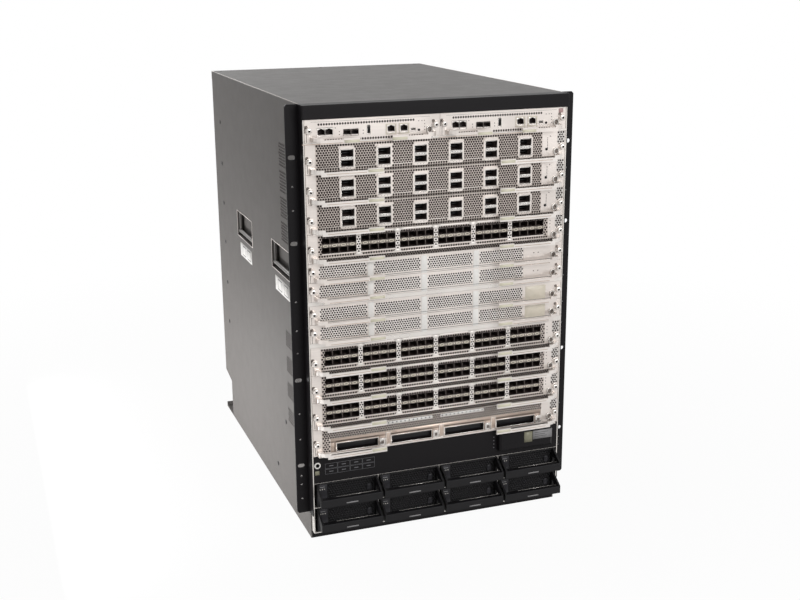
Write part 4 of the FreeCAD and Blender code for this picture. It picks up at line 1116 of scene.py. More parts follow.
@dataclass(frozen=True)
class DenseCard(LineCard):
    """Line card with two rows of small ports in six groups.

    Each end of a bridge between groups is given by half its width and its two levels. The lip
    and the top edge share one span, a length and its middle, and have a height and a level each.
    """
    foot_area: Area = (-201.0, 201.0, 0.5, 6.6)
    area: Area = (-201.0, 190.0, 8.2, 42.6)
    gap_mesh: Perforation = Perforation(4.2, 2.8, 0.45, Look.PALE_MESH)
    pitch: float = 64.3
    centre: float = -6.8
    column_pitch: float = 14.3
    port: tuple[float, float] = (12.6, 8.6)
    port_rows: tuple[float, float] = (14.8, 29.6)
    port_depth: float = 19.0
    under_ports: float = 1.0
    # Height of the band of painted shade above the upper ports, and its height over the face.
    port_shade: float = 2.4
    port_shade_height: float = 0.45
    cage_rim: float = 0.8
    divider: float = 0.5
    finger: tuple[float, float] = (1.6, 0.5)
    finger_pitch: float = 3.6
    latch: tuple[float, float] = (3.0, 0.9)
    pipe: tuple[float, float] = (9.0, 4.4)
    pipe_hole: tuple[float, float] = (5.4, 1.8)
    pipe_power: float = 2.2
    strip_height: float = 5.6
    strip_proud: float = 0.6
    bridge_waist: float = 3.2
    bridge_foot: tuple[float, float, float] = (8.0, 7.2, 13.0)
    bridge_head: tuple[float, float, float] = (7.6, 38.8, 44.9)
    edge_span: tuple[float, float] = (391.0, -5.5)
    lip: tuple[float, float] = (1.5, 7.4)
    top_edge: tuple[float, float] = (2.2, 43.8)
    lamp_column: float = 194.0
    lamp_rows: tuple[float, ...] = (36.5, 31.0, 25.5)

    def port_lining(self, up: float) -> Surface:
        """Dark cage inside a port, with spring fingers round its mouth.

        Args:
            up: 1 where the port's latch is below it, -1 above.
        Returns:
            The lining, about the port's centre.
        """
        width, height = self.port
        hollow = well(rectangle(width - 0.3, height - 0.3), 0.1, self.port_depth, Look.DARK,
                      Look.DARK)
        finger = pad(rectangle(*self.finger), 0.5, Look.SHADE, 0.0, -0.7)
        fingers = finger.at(row_at(spread(3, self.finger_pitch), up * (height / 2 - 0.5)))
        latch = pad(rectangle(*self.latch, 0, -up * (height / 2 - 0.7)), 1.0, Look.SHADE, 0.1,
                    -3.4)
        return Surface.joined([hollow, fingers, latch])

    def cages(self, groups: np.ndarray) -> list[Surface]:
        """Make the black cage fronts, the dividers between ports and a band of painted shade over each
        group.

        Args:
            groups: middles of the port groups.
        Returns:
            The surfaces, drawn from the slot's bottom centre.
        """
        width, height = self.port
        rows = [row + height / 2 for row in self.port_rows]
        top = self.port_rows[1] + height
        columns = [u for g in groups for u in spread(4, self.column_pitch, g)]
        dividers = [u for g in groups for u in spread(3, self.column_pitch, g)]
        rim = frame_rim(rectangle(self.column_pitch, height + 2 * self.cage_rim),
                        rectangle(width - 0.2, height - 0.2), 0.4, Look.DARK)
        divider = pad(rectangle(self.divider, height + self.cage_rim), 0.55, Look.CAGE_STEEL)
        # Painted shade: a pad in the shade colour above each group's upper row; it stands for no part.
        port_shade = pad(rectangle(4 * self.column_pitch, self.port_shade - 0.2, 0,
                             top + (self.port_shade + self.cage_rim) / 2), self.port_shade_height, Look.SHADE,
                   0.2)
        under = self.port_lining(-1.0).at(grid_of(columns, rows[:1]))
        over = self.port_lining(1.0).at(grid_of(columns, rows[1:]))
        return [rim.at(grid_of(columns, rows)), divider.at(grid_of(dividers, rows)),
                port_shade.at(row_at(groups)), under, over]

    def lamp_strip(self) -> Surface:
        """Make the strip between both rows of a group, with an oval light pipe for each column.

        Returns:
            The strip about its centre.
        """
        pipe = frame_rim(superellipse(*self.pipe, self.pipe_power, 16),
                         superellipse(*self.pipe_hole, self.pipe_power, 16), 0.35,
                         Look.CREAM_FILM, self.strip_proud)
        dot = pad(disc(1.3, 8), 0.3, Look.CREAM_FILM, 0.0, self.strip_proud)
        base = pad(rectangle(4 * self.column_pitch, self.strip_height), self.strip_proud,
                   Look.DARK_MESH)
        return Surface.joined([base, pipe.at(row_at(spread(4, self.column_pitch))),
                               dot.at(row_at(spread(5, self.column_pitch)))])

    def bridge(self) -> Surface:
        """Make the flared foot and head of the bright bridge between two groups.

        Returns:
            Both, about the middle between the groups.
        """
        pieces = []
        for half_low, half_high, v0, v1 in (
                (self.bridge_foot[0], self.bridge_waist, *self.bridge_foot[1:]),
                (self.bridge_waist, self.bridge_head[0], *self.bridge_head[1:])):
            outline = np.array([[-half_low, v0], [half_low, v0], [half_high, v1],
                                [-half_high, v1]])
            pieces.append(pad(outline, 0.7, Look.PALE_MESH))
        return Surface.joined(pieces)

    def face(self) -> list[Surface]:
        """Make ports, perforated bands, lamp strips and the bridges between the groups.

        Returns:
            The surfaces, drawn from the slot's bottom centre.
        """
        groups = spread(6, self.pitch, self.centre)
        half = 2 * self.column_pitch
        first, last = self.port_rows[0], self.port_rows[1] + self.port[1]
        ports = [(g - half, g + half, first - self.under_ports, last + self.port_shade) for g in groups]
        gaps = [(g + half, g + self.pitch - half, *self.area[2:]) for g in groups[:-1]]
        mesh = [self.mesh.over(self.area, ports + gaps)]
        mesh += [self.gap_mesh.over(gap) for gap in gaps]
        long, middle = self.edge_span
        lip = pad(rectangle(long, self.lip[0], middle, self.lip[1]), 1.0, Look.CARD_STEEL)
        edge = pad(rectangle(long, self.top_edge[0], middle, self.top_edge[1]), 0.5,
                   Look.PALE_MESH, 0.1)
        lamps = dots([(self.lamp_column, v) for v in self.lamp_rows], 0.8, Look.LAMP)
        return mesh + self.cages(groups) + [
            edge, self.lamp_strip().at(row_at(groups, (first + last) / 2)),
            self.bridge().at(row_at(groups[:-1] + self.pitch / 2)), lip, self.foot_shade_band(), lamps]


@dataclass(frozen=True)
class BayCard(LineCard):
    """Line card with four wide module bays under a perforated band.

    The plate spans the bays up to the sill. A strip is given by its middle and its width.
    """
    left: float = -202.5
    plate: tuple[float, float] = (-188.0, 186.0)
    right: float = 187.0
    top: float = 44.9
    pitch: float = 93.7
    centre: float = -3.0
    bay: tuple[float, float] = (70.4, 13.6)
    foot: float = 5.4
    depth: float = 58.0
    proud: float = 1.5
    wall: float = 2.0
    latch: tuple[float, float] = (10.0, 12.4)
    latch_slot: tuple[float, float] = (4.6, 5.4)
    sill: float = 27.5
    post: tuple[float, float] = (7.6, 20.4)
    post_rise: float = 15.2
    post_shift: float = 6.1
    strips: tuple[tuple[float, float], ...] = ((-53.8, 82.0), (40.5, 78.0))
    strip_rise: float = 41.2
    strip_height: float = 5.2
    strip_slot: tuple[float, float] = (1.7, 1.9)
    slot_pitch: float = 7.2
    rim: tuple[float, float] = (402.0, 3.4)
    rim_rise: float = 2.2
    mesh_foot: float = 5.0

    def bay_lining(self) -> Surface:
        """Make a bay's surround, its well with black walls as painted shade, its flap, and the latch
        block at its right.

        Returns:
            The surfaces about the bay's centre.
        """
        width, height = self.bay
        mouth = rectangle(width - 0.3, height - 0.3)
        surround = rectangle(width + 2 * self.wall, height + 2 * self.wall)
        flap = pad(rectangle(width - 3, height - 3.6), 1.0, Look.BLACK_PLASTIC, 0.3, -3.0)
        hinge = leaf(rectangle(width - 3, 1.0, 0, height / 2 - 2.6), -1.6, Look.SHADE)
        latch_width, latch_height = self.latch
        latch = Surface.joined([
            pad(rectangle(latch_width - 0.8, latch_height - 0.8), 0.5, Look.NICKEL, 0.2, 3.5),
            leaf(rectangle(*self.latch_slot, 0, -0.8), 4.03, Look.CAGE_STEEL)])
        latch_place = [(width / 2 + self.wall + latch_width / 2, (latch_height - height) / 2, 0)]
        return Surface.joined([
            frame_rim(surround, grown(mouth, 0.9), self.proud + 0.15, Look.TAN_STEEL),
            frame_rim(grown(mouth, 0.9), mouth, self.proud + 0.5, Look.TIN_PLATE),
            # Painted shade: the well's walls are black like its floor, standing for the dark inside the
            # empty bay.
            well(mouth, self.proud + 0.1, self.depth, Look.DARK, Look.DARK), flap, hinge,
            latch.at(latch_place)])

    def plates(self, bays: np.ndarray) -> list[Surface]:
        """Make the plate beside, between and over the bays, in tan steel darker than the card's: painted
        shade.

        Args:
            bays: middles of the bays.
        Returns:
            The surfaces, drawn from the slot's bottom centre.
        """
        width, height = self.bay
        left, right = self.plate
        ends = [(u - width / 2 - 1, u + width / 2 + 1) for u in bays]
        starts = [left] + [end for _, end in ends]
        stops = [start for start, _ in ends] + [right]
        beside = [pad(rectangle(u1 - u0, self.sill - 0.4, (u0 + u1) / 2, (self.sill + 0.4) / 2),
                      0.12, Look.TAN_STEEL) for u0, u1 in zip(starts, stops)]
        above = height + self.foot + 1.0
        over = pad(rectangle(right - left, self.sill - above, (left + right) / 2,
                             (self.sill + above) / 2), 0.13, Look.TAN_STEEL)
        return beside + [over]

    def lamp_strips(self) -> list[Surface]:
        """Make the two white strips over the bays, each with a row of slots.

        Returns:
            The surfaces, drawn from the slot's bottom centre.
        """
        parts = []
        slot = leaf(rectangle(*self.strip_slot), 0.7, Look.DARK)
        for middle, wide in self.strips:
            parts.append(pad(rectangle(wide, self.strip_height, middle, self.strip_rise), 0.65,
                             Look.WHITE_FILM))
            parts.append(slot.at(row_at(spread(11, self.slot_pitch, middle), self.strip_rise)))
        return parts

    def face(self) -> list[Surface]:
        """Make the bays in their plate, posts between them, perforated band and lamp strips.

        Returns:
            The surfaces, drawn from the slot's bottom centre.
        """
        bays = spread(4, self.pitch, self.centre)
        wide, tall = self.post
        post = Surface.joined([
            pad(rectangle(wide, tall, 0, self.post_rise), 1.6, Look.TAN_STEEL, 0.3),
            frame_rim(rectangle(wide + 0.8, tall + 0.8, 0, self.post_rise),
                      rectangle(wide - 0.4, tall - 0.4, 0, self.post_rise), 1.8,
                      Look.TIN_PLATE)])
        rim = pad(rectangle(*self.rim, 0, self.rim_rise), 0.9, Look.CARD_STEEL, 0.2)
        return [self.mesh.over((self.left, self.plate[0] - 0.4, self.mesh_foot, self.sill)),
                self.mesh.over((self.left, self.right, self.sill + 0.2, self.top)), rim,
                self.bay_lining().at(row_at(bays, self.foot + self.bay[1] / 2)),
                post.at(row_at(bays[:-1] + self.pitch / 2 + self.post_shift))
                ] + self.plates(bays) + self.lamp_strips()


@dataclass(frozen=True)
class FabricCard(Card):
    """Switching fabric card with four recessed honeycomb vents."""
    screws: tuple[float, ...] = (-211.0, 211.0)
    screw_rise: float = 18.5
    end_top: float = 30.2
    tips: tuple[float, ...] = (-110.5, 110.5)
    vent: tuple[float, float] = (79.0, 21.4)
    foot: float = 5.6
    recess: float = 0.8
    pitch: float = 89.9
    centre: float = -26.8
    bar: tuple[float, float] = (9.6, 28.4)
    bar_rise: float = 15.2
    fold: tuple[float, float] = (398.0, 0.7)
    fold_rise: float = 4.4
    lamps: tuple[tuple[float, float], ...] = ((166.1, 17.0), (174.0, 17.0))
    label: tuple[float, float] = (37.0, 23.6)
    label_place: Place = (170.6, 16.4, 0.0)
    labelled: bool = False
    mesh: Perforation = Perforation(4.2, 2.9, 0.45, Look.PALE_MESH)

    def face(self) -> list[Surface]:
        """Make sheets in the vents, pale bars between them and the right end's lamps or label.

        Returns:
            The surfaces, drawn from the slot's bottom centre.
        """
        width, height = self.vent
        vents = spread(4, self.pitch, self.centre)
        sheet = self.mesh.over((-width / 2 + 0.1, width / 2 - 0.1, 0.1, height - 0.1))
        bar = pad(rectangle(*self.bar, 0, self.bar_rise), 0.25, Look.WHITE_FILM, SKIN)
        fold = leaf(rectangle(*self.fold, 0, self.fold_rise), 0.32, Look.LINE_FILM)
        parts = [sheet.at(row_at(vents, self.foot, -self.recess)),
                 bar.at(row_at(vents[:-1] + self.pitch / 2)), fold,
                 dots(self.lamps, 1.0, Look.LAMP)]
        if self.labelled:
            label = pad(clipped(*self.label, 1.0), 0.3, Look.CREAM_FILM, 0.1)
            parts.append(label.at([self.label_place]))
        return parts


@dataclass(frozen=True)
class ControlCard(Card):
    """Half-width control card; its places are those of the left card plus a shift.

    A row of vents is given by its start, its end and its level.
    """
    screws: tuple[float, ...] = (-211.0, -7.8)
    end_top: float = 34.5
    tips: tuple[float, ...] = (-147.5, -71.5)
    board_margin: float = 19.0
    board_inner: float = 8.0
    shift: float = 0.0
    jack: tuple[float, float] = (11.7, 11.0)
    jack_mouth: tuple[float, float, float] = (11.2, 11.4, 1.2)
    jack_foot: float = 11.0
    bare_jacks: tuple[float, ...] = (-191.3, -178.9)
    framed_jacks: tuple[float, ...] = (-80.3, -59.4)
    jack_frame: tuple[float, float] = (17.0, 16.0)
    frame_wall: float = 1.6
    cage: tuple[float, float] = (11.3, 8.1)
    cages: tuple[float, ...] = (-150.6, -138.4)
    cage_rise: float = 14.0
    tall_socket: tuple[float, float] = (4.9, 12.4)
    tall_place: Place = (-116.3, 16.4, 0.0)
    tall_tongue: tuple[float, float] = (1.8, 10.4)
    console: tuple[float, float] = (7.3, 3.3)
    console_place: Place = (-44.2, 12.8, 0.0)
    vent: tuple[float, float, float] = (3.0, 3.4, 0.8)
    vent_pitch: float = 4.2
    upper_vents: tuple[float, float, float] = (-195.0, -43.0, 28.6)
    lower_vents: tuple[float, float, float] = (-189.0, -26.0, 4.4)
    lamps: tuple[tuple[float, float], ...] = (
        (-35.2, 26.6), (-30.0, 26.6), (-25.9, 26.6), (-25.4, 17.2), (-25.4, 12.7),
        (-162.7, 16.7), (-162.7, 12.2), (-125.0, 16.7), (-125.0, 12.2), (-169.0, 22.5),
        (-25.4, 21.8))
    fold: tuple[float, float] = (190.0, 0.35)
    fold_place: tuple[float, float] = (-112.0, 32.6)
    button_place: Place = (-35.0, 12.8, 0.0)
    film: tuple[float, float, float] = (8.0, 7.0, 0.8)
    film_place: Place = (-9.0, 31.0, 0.0)

    def socket(self, size: tuple[float, float], rim: tuple[float, float], top: float,
               depth: float) -> Surface:
        """Make a plated socket: a raised rim and a well with a dark floor.

        Args:
            size: width and height of the mouth.
            rim: width and height of the rim.
            top: height at which the well's wall starts.
            depth: depth of the well.
        Returns:
            The socket about its centre.
        """
        mouth = rectangle(*size)
        return Surface.joined([frame_rim(grown(mouth, rim[0]), mouth, rim[1], Look.NICKEL),
                               well(mouth, top, depth, Look.NICKEL, Look.DARK)])

    def sockets(self) -> list[Surface]:
        """Make network jacks, optical cages, the tall data socket and the small console socket.

        Returns:
            The surfaces, drawn from the slot's bottom centre.
        """
        width, height = self.jack
        mouth = jack_opening(*self.jack_mouth)
        jack = Surface.joined([
            frame_rim(boxed(mouth, width + 1.6, height + 2.4), mouth, 0.35, Look.TIN_PLATE),
            well(mouth, 0.3, 10.0, Look.DARK, Look.DARK)])
        v = self.jack_foot + height / 2
        frame_width, frame_height = self.jack_frame
        ring = frame_rim(rectangle(frame_width, frame_height),
                         rectangle(frame_width - 2 * self.frame_wall,
                                   frame_height - 2 * self.frame_wall), 0.45, Look.CREAM_FILM)
        cage = rectangle(*self.cage)
        optical = Surface.joined([
            frame_rim(grown(cage, 0.45), cage, 0.5, Look.CAGE_STEEL),
            well(cage, 0.4, 11.5, Look.DARK, Look.DARK),
            pad(rectangle(5.0, 0.6, 0, -3.6), 0.6, Look.SHADE, 0.1, -1.6)])
        tall = Surface.joined([self.socket(self.tall_socket, (0.6, 0.45), 0.3, 10.0),
                               pad(rectangle(*self.tall_tongue), 8.5, Look.BLACK_PLASTIC, 0.2,
                                   -9.5)])
        return [jack.at(row_at(self.bare_jacks + self.framed_jacks, v)),
                ring.at(row_at(self.framed_jacks, v)),
                optical.at(row_at(self.cages, self.cage_rise)),
                tall.at([self.tall_place]),
                self.socket(self.console, (0.5, 0.3), 0.2, 8.0).at([self.console_place])]

    def face(self) -> list[Surface]:
        """Make sockets, two rows of small vents as flat dark marks of painted shade, lamps and the film
        by the right-hand screw.

        Returns:
            The surfaces, drawn from the slot's bottom centre.
        """
        # Painted shade: each vent is a flat dark leaf over the face, standing for its opening.
        vent = leaf(clipped(*self.vent), SKIN, Look.DARK)
        vents = [place for start, stop, v in (self.upper_vents, self.lower_vents)
                 for place in row_at(np.arange(start, stop, self.vent_pitch), v)]
        fold = leaf(rectangle(*self.fold, *self.fold_place), SKIN, Look.LINE_FILM)
        button = pad(disc(1.9), 0.5, Look.BLACK_PLASTIC, 0.2, 0.5).at([self.button_place])
        parts = self.sockets() + [vent.at(vents), dots(self.lamps, 0.8, Look.LAMP), fold, button]
        if self.shift:
            parts.append(pad(clipped(*self.film), 0.2, Look.PINK_FILM).at([self.film_place]))
        return parts

    def board_span(self) -> tuple[float, float]:
        """Left and right edges of the board, with the wider margin at the chassis's side.

        Returns:
            Both as x.
        """
        left, right = low(self.node)[0], high(self.node)[0]
        if left < 0:
            return left + self.board_margin, -self.board_inner
        return self.board_inner, right - self.board_margin

    def on_face(self, parts: Sequence[Surface]) -> list[Surface]:
        """Put surfaces that are drawn for the left card onto this card's face."""
        place = [(self.shift, FACE, slot_bottom(self.node))]
        return [part.on(Side.FRONT, place) for part in parts]


# ---------------------------------------------------------------- foot of the front

@dataclass(frozen=True)
class PowerPanel:
    """Black panel between cards and supplies, with its jack, prints and cover box."""
    node: str = "power_panel"
    jack: Place = (-211.5, 132.6, 0.0)
    jack_radii: tuple[float, float, float] = (5.2, 3.3, 2.1)
    ring_height: float = 1.45
    bush_height: float = 1.35
    mark: Block = (7.2, 7.2, -212.0, 119.4)
    cell: tuple[float, float] = (20.6, 8.8)
    cell_line: float = 0.4
    cell_pitch: float = 21.2
    cell_middle: float = -156.5
    cell_rows: tuple[float, float] = (119.6, 129.2)
    dash: tuple[float, float] = (7.0, 1.3)
    print_skin: float = 0.06
    row_dots: tuple[float, ...] = (117.6, 123.8, 130.0, 136.2)
    row_dots_u: float = 99.2
    box_mark: Block = (15.3, 18.8, 157.3, 133.4)
    box_label: Block = (36.0, 15.6, 184.0, 135.1)
    box_lines: tuple[Block, ...] = ((26.0, 1.2, 182.0, 139.0), (20.0, 1.2, 179.0, 135.5),
                                    (23.0, 1.2, 180.5, 132.0))

    def panel_prints(self) -> list[Surface]:
        """Make the jack's ring and bush and what is printed on the panel itself.

        Returns:
            The surfaces, drawn from the foot of the chassis.
        """
        outer, middle, inner = (disc(radius, 24) for radius in self.jack_radii)
        ring = frame_rim(outer, middle, self.ring_height, Look.WHITE_FILM)
        bush = frame_rim(middle, inner, self.bush_height, Look.BLACK_PLASTIC)
        width, height = self.cell
        cell = frame_rim(rectangle(width, height),
                         rectangle(width - 2 * self.cell_line, height - 2 * self.cell_line),
                         self.print_skin, Look.GRID_FILM)
        dash = leaf(rectangle(*self.dash), self.print_skin + 0.01, Look.GRID_FILM)
        cells = grid_of(spread(4, self.cell_pitch, self.cell_middle), self.cell_rows)
        return [ring.at([self.jack]), bush.at([self.jack]),
                pad(rectangle(*self.mark), FILM, Look.OLIVE_FILM), cell.at(cells), dash.at(cells),
                dots([(self.row_dots_u, v) for v in self.row_dots], 1.0, Look.GRID_FILM, 0.04)]

    def box_films(self) -> list[Surface]:
        """Make the two films on the cover box, with plain lines on the wide one.

        Returns:
            The surfaces, drawn from the foot of the chassis.
        """
        lines = [leaf(rectangle(*line), 0.2, Look.LINE_FILM) for line in self.box_lines]
        return [pad(rectangle(*self.box_mark), FILM, Look.OLIVE_FILM),
                pad(rectangle(*self.box_label), FILM, Look.GREY_FILM)] + lines

    def build(self) -> None:
        """Give the panel its paint and put its prints and films in place."""
        dress(self.node, Look.BLACK_PAINT)
        parts = [part.on(Side.FRONT, [(0, FACE, 0)]) for part in self.panel_prints()]
        parts += [part.on(Side.FRONT, [(0, low(self.node)[1], 0)]) for part in self.box_films()]
        make_piece("power_panel_prints", parts, "chassis")


@dataclass(frozen=True)
class PowerSupply:
    """Face of a plug-in supply: lamp strip, sheet in the recess and marks on the bar."""
    node: str
    strip: float = 19.0
    strip_margin: tuple[float, float] = (3.2, 3.0)
    strip_height: float = 0.5
    lamp_rise: float = 31.0
    lamp_pitch: float = 3.6
    mark: tuple[float, float] = (8.0, 1.0)
    mark_rise: float = 35.0
    recess: float = 8.0
    foot: float = 7.0
    rim: float = 2.5
    sheet_gap: float = 0.3
    catch: tuple[float, float] = (9.0, 12.0)
    catch_inset: float = 12.0
    catch_rise: float = 20.0
    bar_lift: float = 10.5
    bar_height: float = 13.0
    bar_depth: float = 9.0
    bar_mark: tuple[float, float] = (20.0, 2.0)
    bar_mark_rise: float = 3.4
    bar_fold_drop: float = 0.9
    # Length and width of the painted highlight, a bright nickel strip along the back edge of the bar's
    # top.
    bar_highlight: tuple[float, float] = (74.0, 0.9)
    bar_highlight_shift: float = 12.0
    mesh: Perforation = Perforation(4.4, 3.4, 0.6, Look.BLACK_PLASTIC, Look.BLACK_PLASTIC)

    def face(self, width: float, height: float) -> list[Surface]:
        """Make the lamp strip, the sheet in the recess and the catch.

        Args:
            width: width of the supply.
            height: its height.
        Returns:
            The surfaces, drawn from the supply's lower left corner.
        """
        middle = self.strip / 2
        strip = pad(rectangle(self.strip - self.strip_margin[0], height - self.strip_margin[1],
                              middle, height / 2), self.strip_height, Look.GREY_PLASTIC, 0.3)
        over_strip = self.strip_height + 0.05
        lamps = dots([(middle + s, self.lamp_rise) for s in spread(3, self.lamp_pitch)], 0.9,
                     Look.CLEAR_LENS, over_strip)
        mark = leaf(rectangle(*self.mark, middle, self.mark_rise), over_strip, Look.GREY_FILM)
        inset = self.rim + self.sheet_gap
        sheet = self.mesh.over((self.strip + self.sheet_gap, width - inset,
                                self.foot + self.sheet_gap, height - inset))
        catch = pad(superellipse(*self.catch, 4.0), 2.0, Look.GREY_PLASTIC, 0.6)
        catch_place = [(width - self.catch_inset, self.catch_rise, -self.recess + 0.6)]
        return [strip, lamps, mark, sheet.at([(0, 0, -self.recess)]), catch.at(catch_place)]

    def bar(self, width: float) -> list[Surface]:
        """Make the bare mark and the fold line on the front of the handle's bar.

        Args:
            width: width of the supply.
        Returns:
            The surfaces, drawn from the supply's lower left corner.
        """
        top = self.bar_lift + self.bar_height
        return [pad(rectangle(*self.bar_mark, width / 2, self.bar_lift + self.bar_mark_rise), 0.1,
                    Look.GREY_FILM),
                pad(rectangle(width - 5, 0.6, width / 2, top - self.bar_fold_drop), 0.3,
                    Look.GREY_PLASTIC, 0.1)]

    def build(self) -> None:
        """Make the supply's face, the marks on its bar and a painted highlight along the back edge of
        the bar's top.
        """
        dress(self.node, Look.SUPPLY_CASE)
        x, y, z = low(self.node)
        width, _, height = high(self.node) - low(self.node)
        parts = [part.on(Side.FRONT, [(x, FACE, z)]) for part in self.face(width, height)]
        parts += [part.on(Side.FRONT, [(x, y, z)]) for part in self.bar(width)]
        # Painted highlight: a bright nickel strip where the back edge of the bar's top catches light.
        bar_highlight = pad(rectangle(*self.bar_highlight), 0.25, Look.NICKEL, 0.1)
        parts.append(bar_highlight.on(Side.TOP, [(x + width / 2 + self.bar_highlight_shift, y + self.bar_depth - 0.8,
                                         z + self.bar_lift + self.bar_height)]))
        make_piece(self.node + "_face", parts, self.node)


# ---------------------------------------------------------------- enclosure

@dataclass(frozen=True)
class SidePanel:
    """Fittings of one side panel: air holes, flat screws, bare labels and rims of the pockets.

    Depths run back from the panel's front edge, and levels up from the foot of the chassis.
    """
    side: Side
    node: str
    hole_patches: tuple[Area, ...] = (
        (88, 130, 598, 637), (88, 130, 556, 592), (88, 130, 515, 549), (88, 130, 475, 508),
        (40, 125, 296, 324), (40, 125, 251, 279), (40, 125, 206, 233), (40, 125, 161, 186))
    screw_depth: float = 590.0
    screw_levels: tuple[float, ...] = (614.0, 533.0, 454.0, 375.0, 291.0, 208.0)
    lone_screws: tuple[tuple[float, float], ...] = ((145.0, 151.0), (212.0, 47.0))
    label: tuple[float, float] = (92.0, 25.0)
    label_depths: tuple[float, ...] = (136.0, 403.0)
    label_level: float = 392.0
    print_frame: tuple[float, float] = (27.0, 18.0)
    print_line: float = 1.4
    print_shifts: tuple[float, ...] = (-24.0, 16.0)
    pocket: tuple[float, float] = (120.0, 47.0)
    pocket_level: float = 438.5
    pocket_rim: float = 0.9
    mesh: Perforation = Perforation(5.6, 4.0, 0.25, Look.SIDE_PAINT, Look.DARK)

    def sign(self) -> float:
        """Direction in which the panel's own right runs along the chassis's depth."""
        return -1.0 if self.side is Side.LEFT else 1.0

    def across(self, depth: float) -> float:
        """Place on the panel's own right axis of a depth behind its front edge."""
        return self.sign() * (low(self.node)[1] + depth)

    def air_holes(self) -> list[Surface]:
        """Make the patches of small holes behind the ear.

        Returns:
            A surface for each patch.
        """
        patches = []
        for near, far, foot, top in self.hole_patches:
            start, stop = sorted((self.across(near), self.across(far)))
            patches.append(self.mesh.over((start, stop, foot, top)))
        return patches

    def screws(self) -> Surface:
        """Make the flat black screws with their crossed slots.

        Returns:
            All screws of the panel.
        """
        head = Surface.joined([pad(disc(4.0, 18), 0.7, Look.BLACK_PLASTIC, 0.3),
                               leaf(rectangle(4.2, 0.9), 0.72, Look.DARK),
                               leaf(rectangle(0.9, 4.2), 0.73, Look.DARK)])
        lone = [(self.across(depth), level, 0) for depth, level in self.lone_screws]
        row = grid_of([self.across(self.screw_depth)], self.screw_levels)
        return head.at(np.vstack([row, lone]))

    def labels(self) -> list[Surface]:
        """Make the bare labels and the line frames on them.

        Returns:
            The labels and their frames.
        """
        width, height = self.print_frame
        box = frame_rim(rectangle(width, height),
                        rectangle(width - 2 * self.print_line, height - 2 * self.print_line), 0.26,
                        Look.LINE_FILM)
        label = pad(clipped(*self.label, 1.0), 0.2, Look.WHITE_FILM)
        return [label.at(row_at([self.across(d) for d in self.label_depths], self.label_level)),
                box.at(row_at([self.across(d + s) for d in self.label_depths
                               for s in self.print_shifts], self.label_level))]

    def pocket_rims(self) -> Surface:
        """Make the bright edge round each lift handle's pocket, in line with its bail.

        Returns:
            The rims of both pockets.
        """
        inner = clipped(*self.pocket, 0.6)
        rim = frame_rim(grown(inner, self.pocket_rim), inner, 0.4, Look.CARD_STEEL)
        bails = [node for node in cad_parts
                 if node.startswith(self.side.name.lower()) and node.endswith("_bail")]
        return rim.at(row_at([self.sign() * (low(bail)[1] + high(bail)[1]) / 2 for bail in bails],
                             self.pocket_level))

    def build(self) -> None:
        """Give the panel its paint and put its fittings on its outer face."""
        dress(self.node, Look.SIDE_PAINT)
        parts = self.air_holes() + [self.screws(), self.pocket_rims()] + self.labels()
        place = [(self.sign() * HALF, 0.0, 0.0)]
        make_piece(self.node + "_fittings", [part.on(self.side, place) for part in parts],
                   "chassis")


@dataclass(frozen=True)
class RearWall:
    """Fittings of the back: rims, linings and pins of the mains inlets, screws and a ground mark."""
    inlet: tuple[float, float] = (26.0, 17.0)
    corner: float = 3.0
    columns: tuple[float, ...] = (-162.0, -54.0, 54.0, 162.0)
    rows: tuple[float, ...] = (29.0, 61.0)
    pin: tuple[float, float] = (2.0, 5.0)
    pins: tuple[Place, ...] = ((-7.0, -1.5, 0.0), (7.0, -1.5, 0.0), (0.0, 2.0, 0.0))
    screw_pitch: float = 108.0
    wall: float = 272.0
    proud: float = 4.0
    depth: float = 16.0
    ground: tuple[float, float] = (24.0, 42.0)
    ground_line: float = 0.7
    ground_place: tuple[float, float] = (190.0, 118.0)

    def inlets(self) -> list[Surface]:
        """Make rim, dark lining and three flat pins of each inlet, and the screws between them.

        Returns:
            The surfaces, drawn from the chassis's middle and foot.
        """
        width, height = self.inlet
        mouth = grown(clipped(width, height, self.corner), -0.2)
        pin = pad(rectangle(*self.pin), 9.0, Look.NICKEL, 0.3, -14.0)
        one = Surface.joined([
            frame_rim(clipped(width + 3, height + 3, self.corner + 0.5), mouth, 0.5,
                      Look.BLACK_PLASTIC),
            well(mouth, 0.4, self.depth - 0.6, Look.BLACK_PLASTIC, Look.DARK), pin.at(self.pins)])
        screw = Surface.joined([pad(disc(2.8, 14), 1.4, Look.NICKEL, 0.5),
                                leaf(rectangle(3.4, 0.7), 1.42, Look.DARK)])
        inlets = [(-x, z, 0) for x in self.columns for z in self.rows]
        screws = [(-x, z, -self.proud) for x in spread(3, self.screw_pitch) for z in self.rows]
        return [one.at(inlets), screw.at(screws)]

    def build(self) -> None:
        """Make the inlets' fittings and the frame of the ground mark."""
        dress("rear_frame", Look.ZINC)
        place = [(0.0, self.wall + self.proud, 0.0)]
        parts = [part.on(Side.REAR, place) for part in self.inlets()]
        width, height = self.ground
        ground = frame_rim(rectangle(width, height),
                           rectangle(width - 2 * self.ground_line, height - 2 * self.ground_line),
                           FILM, Look.WHITE_FILM)
        x, z = self.ground_place
        parts.append(ground.on(Side.REAR, [(x, REAR, z)]))
        make_piece("rear_fittings", parts, "chassis")


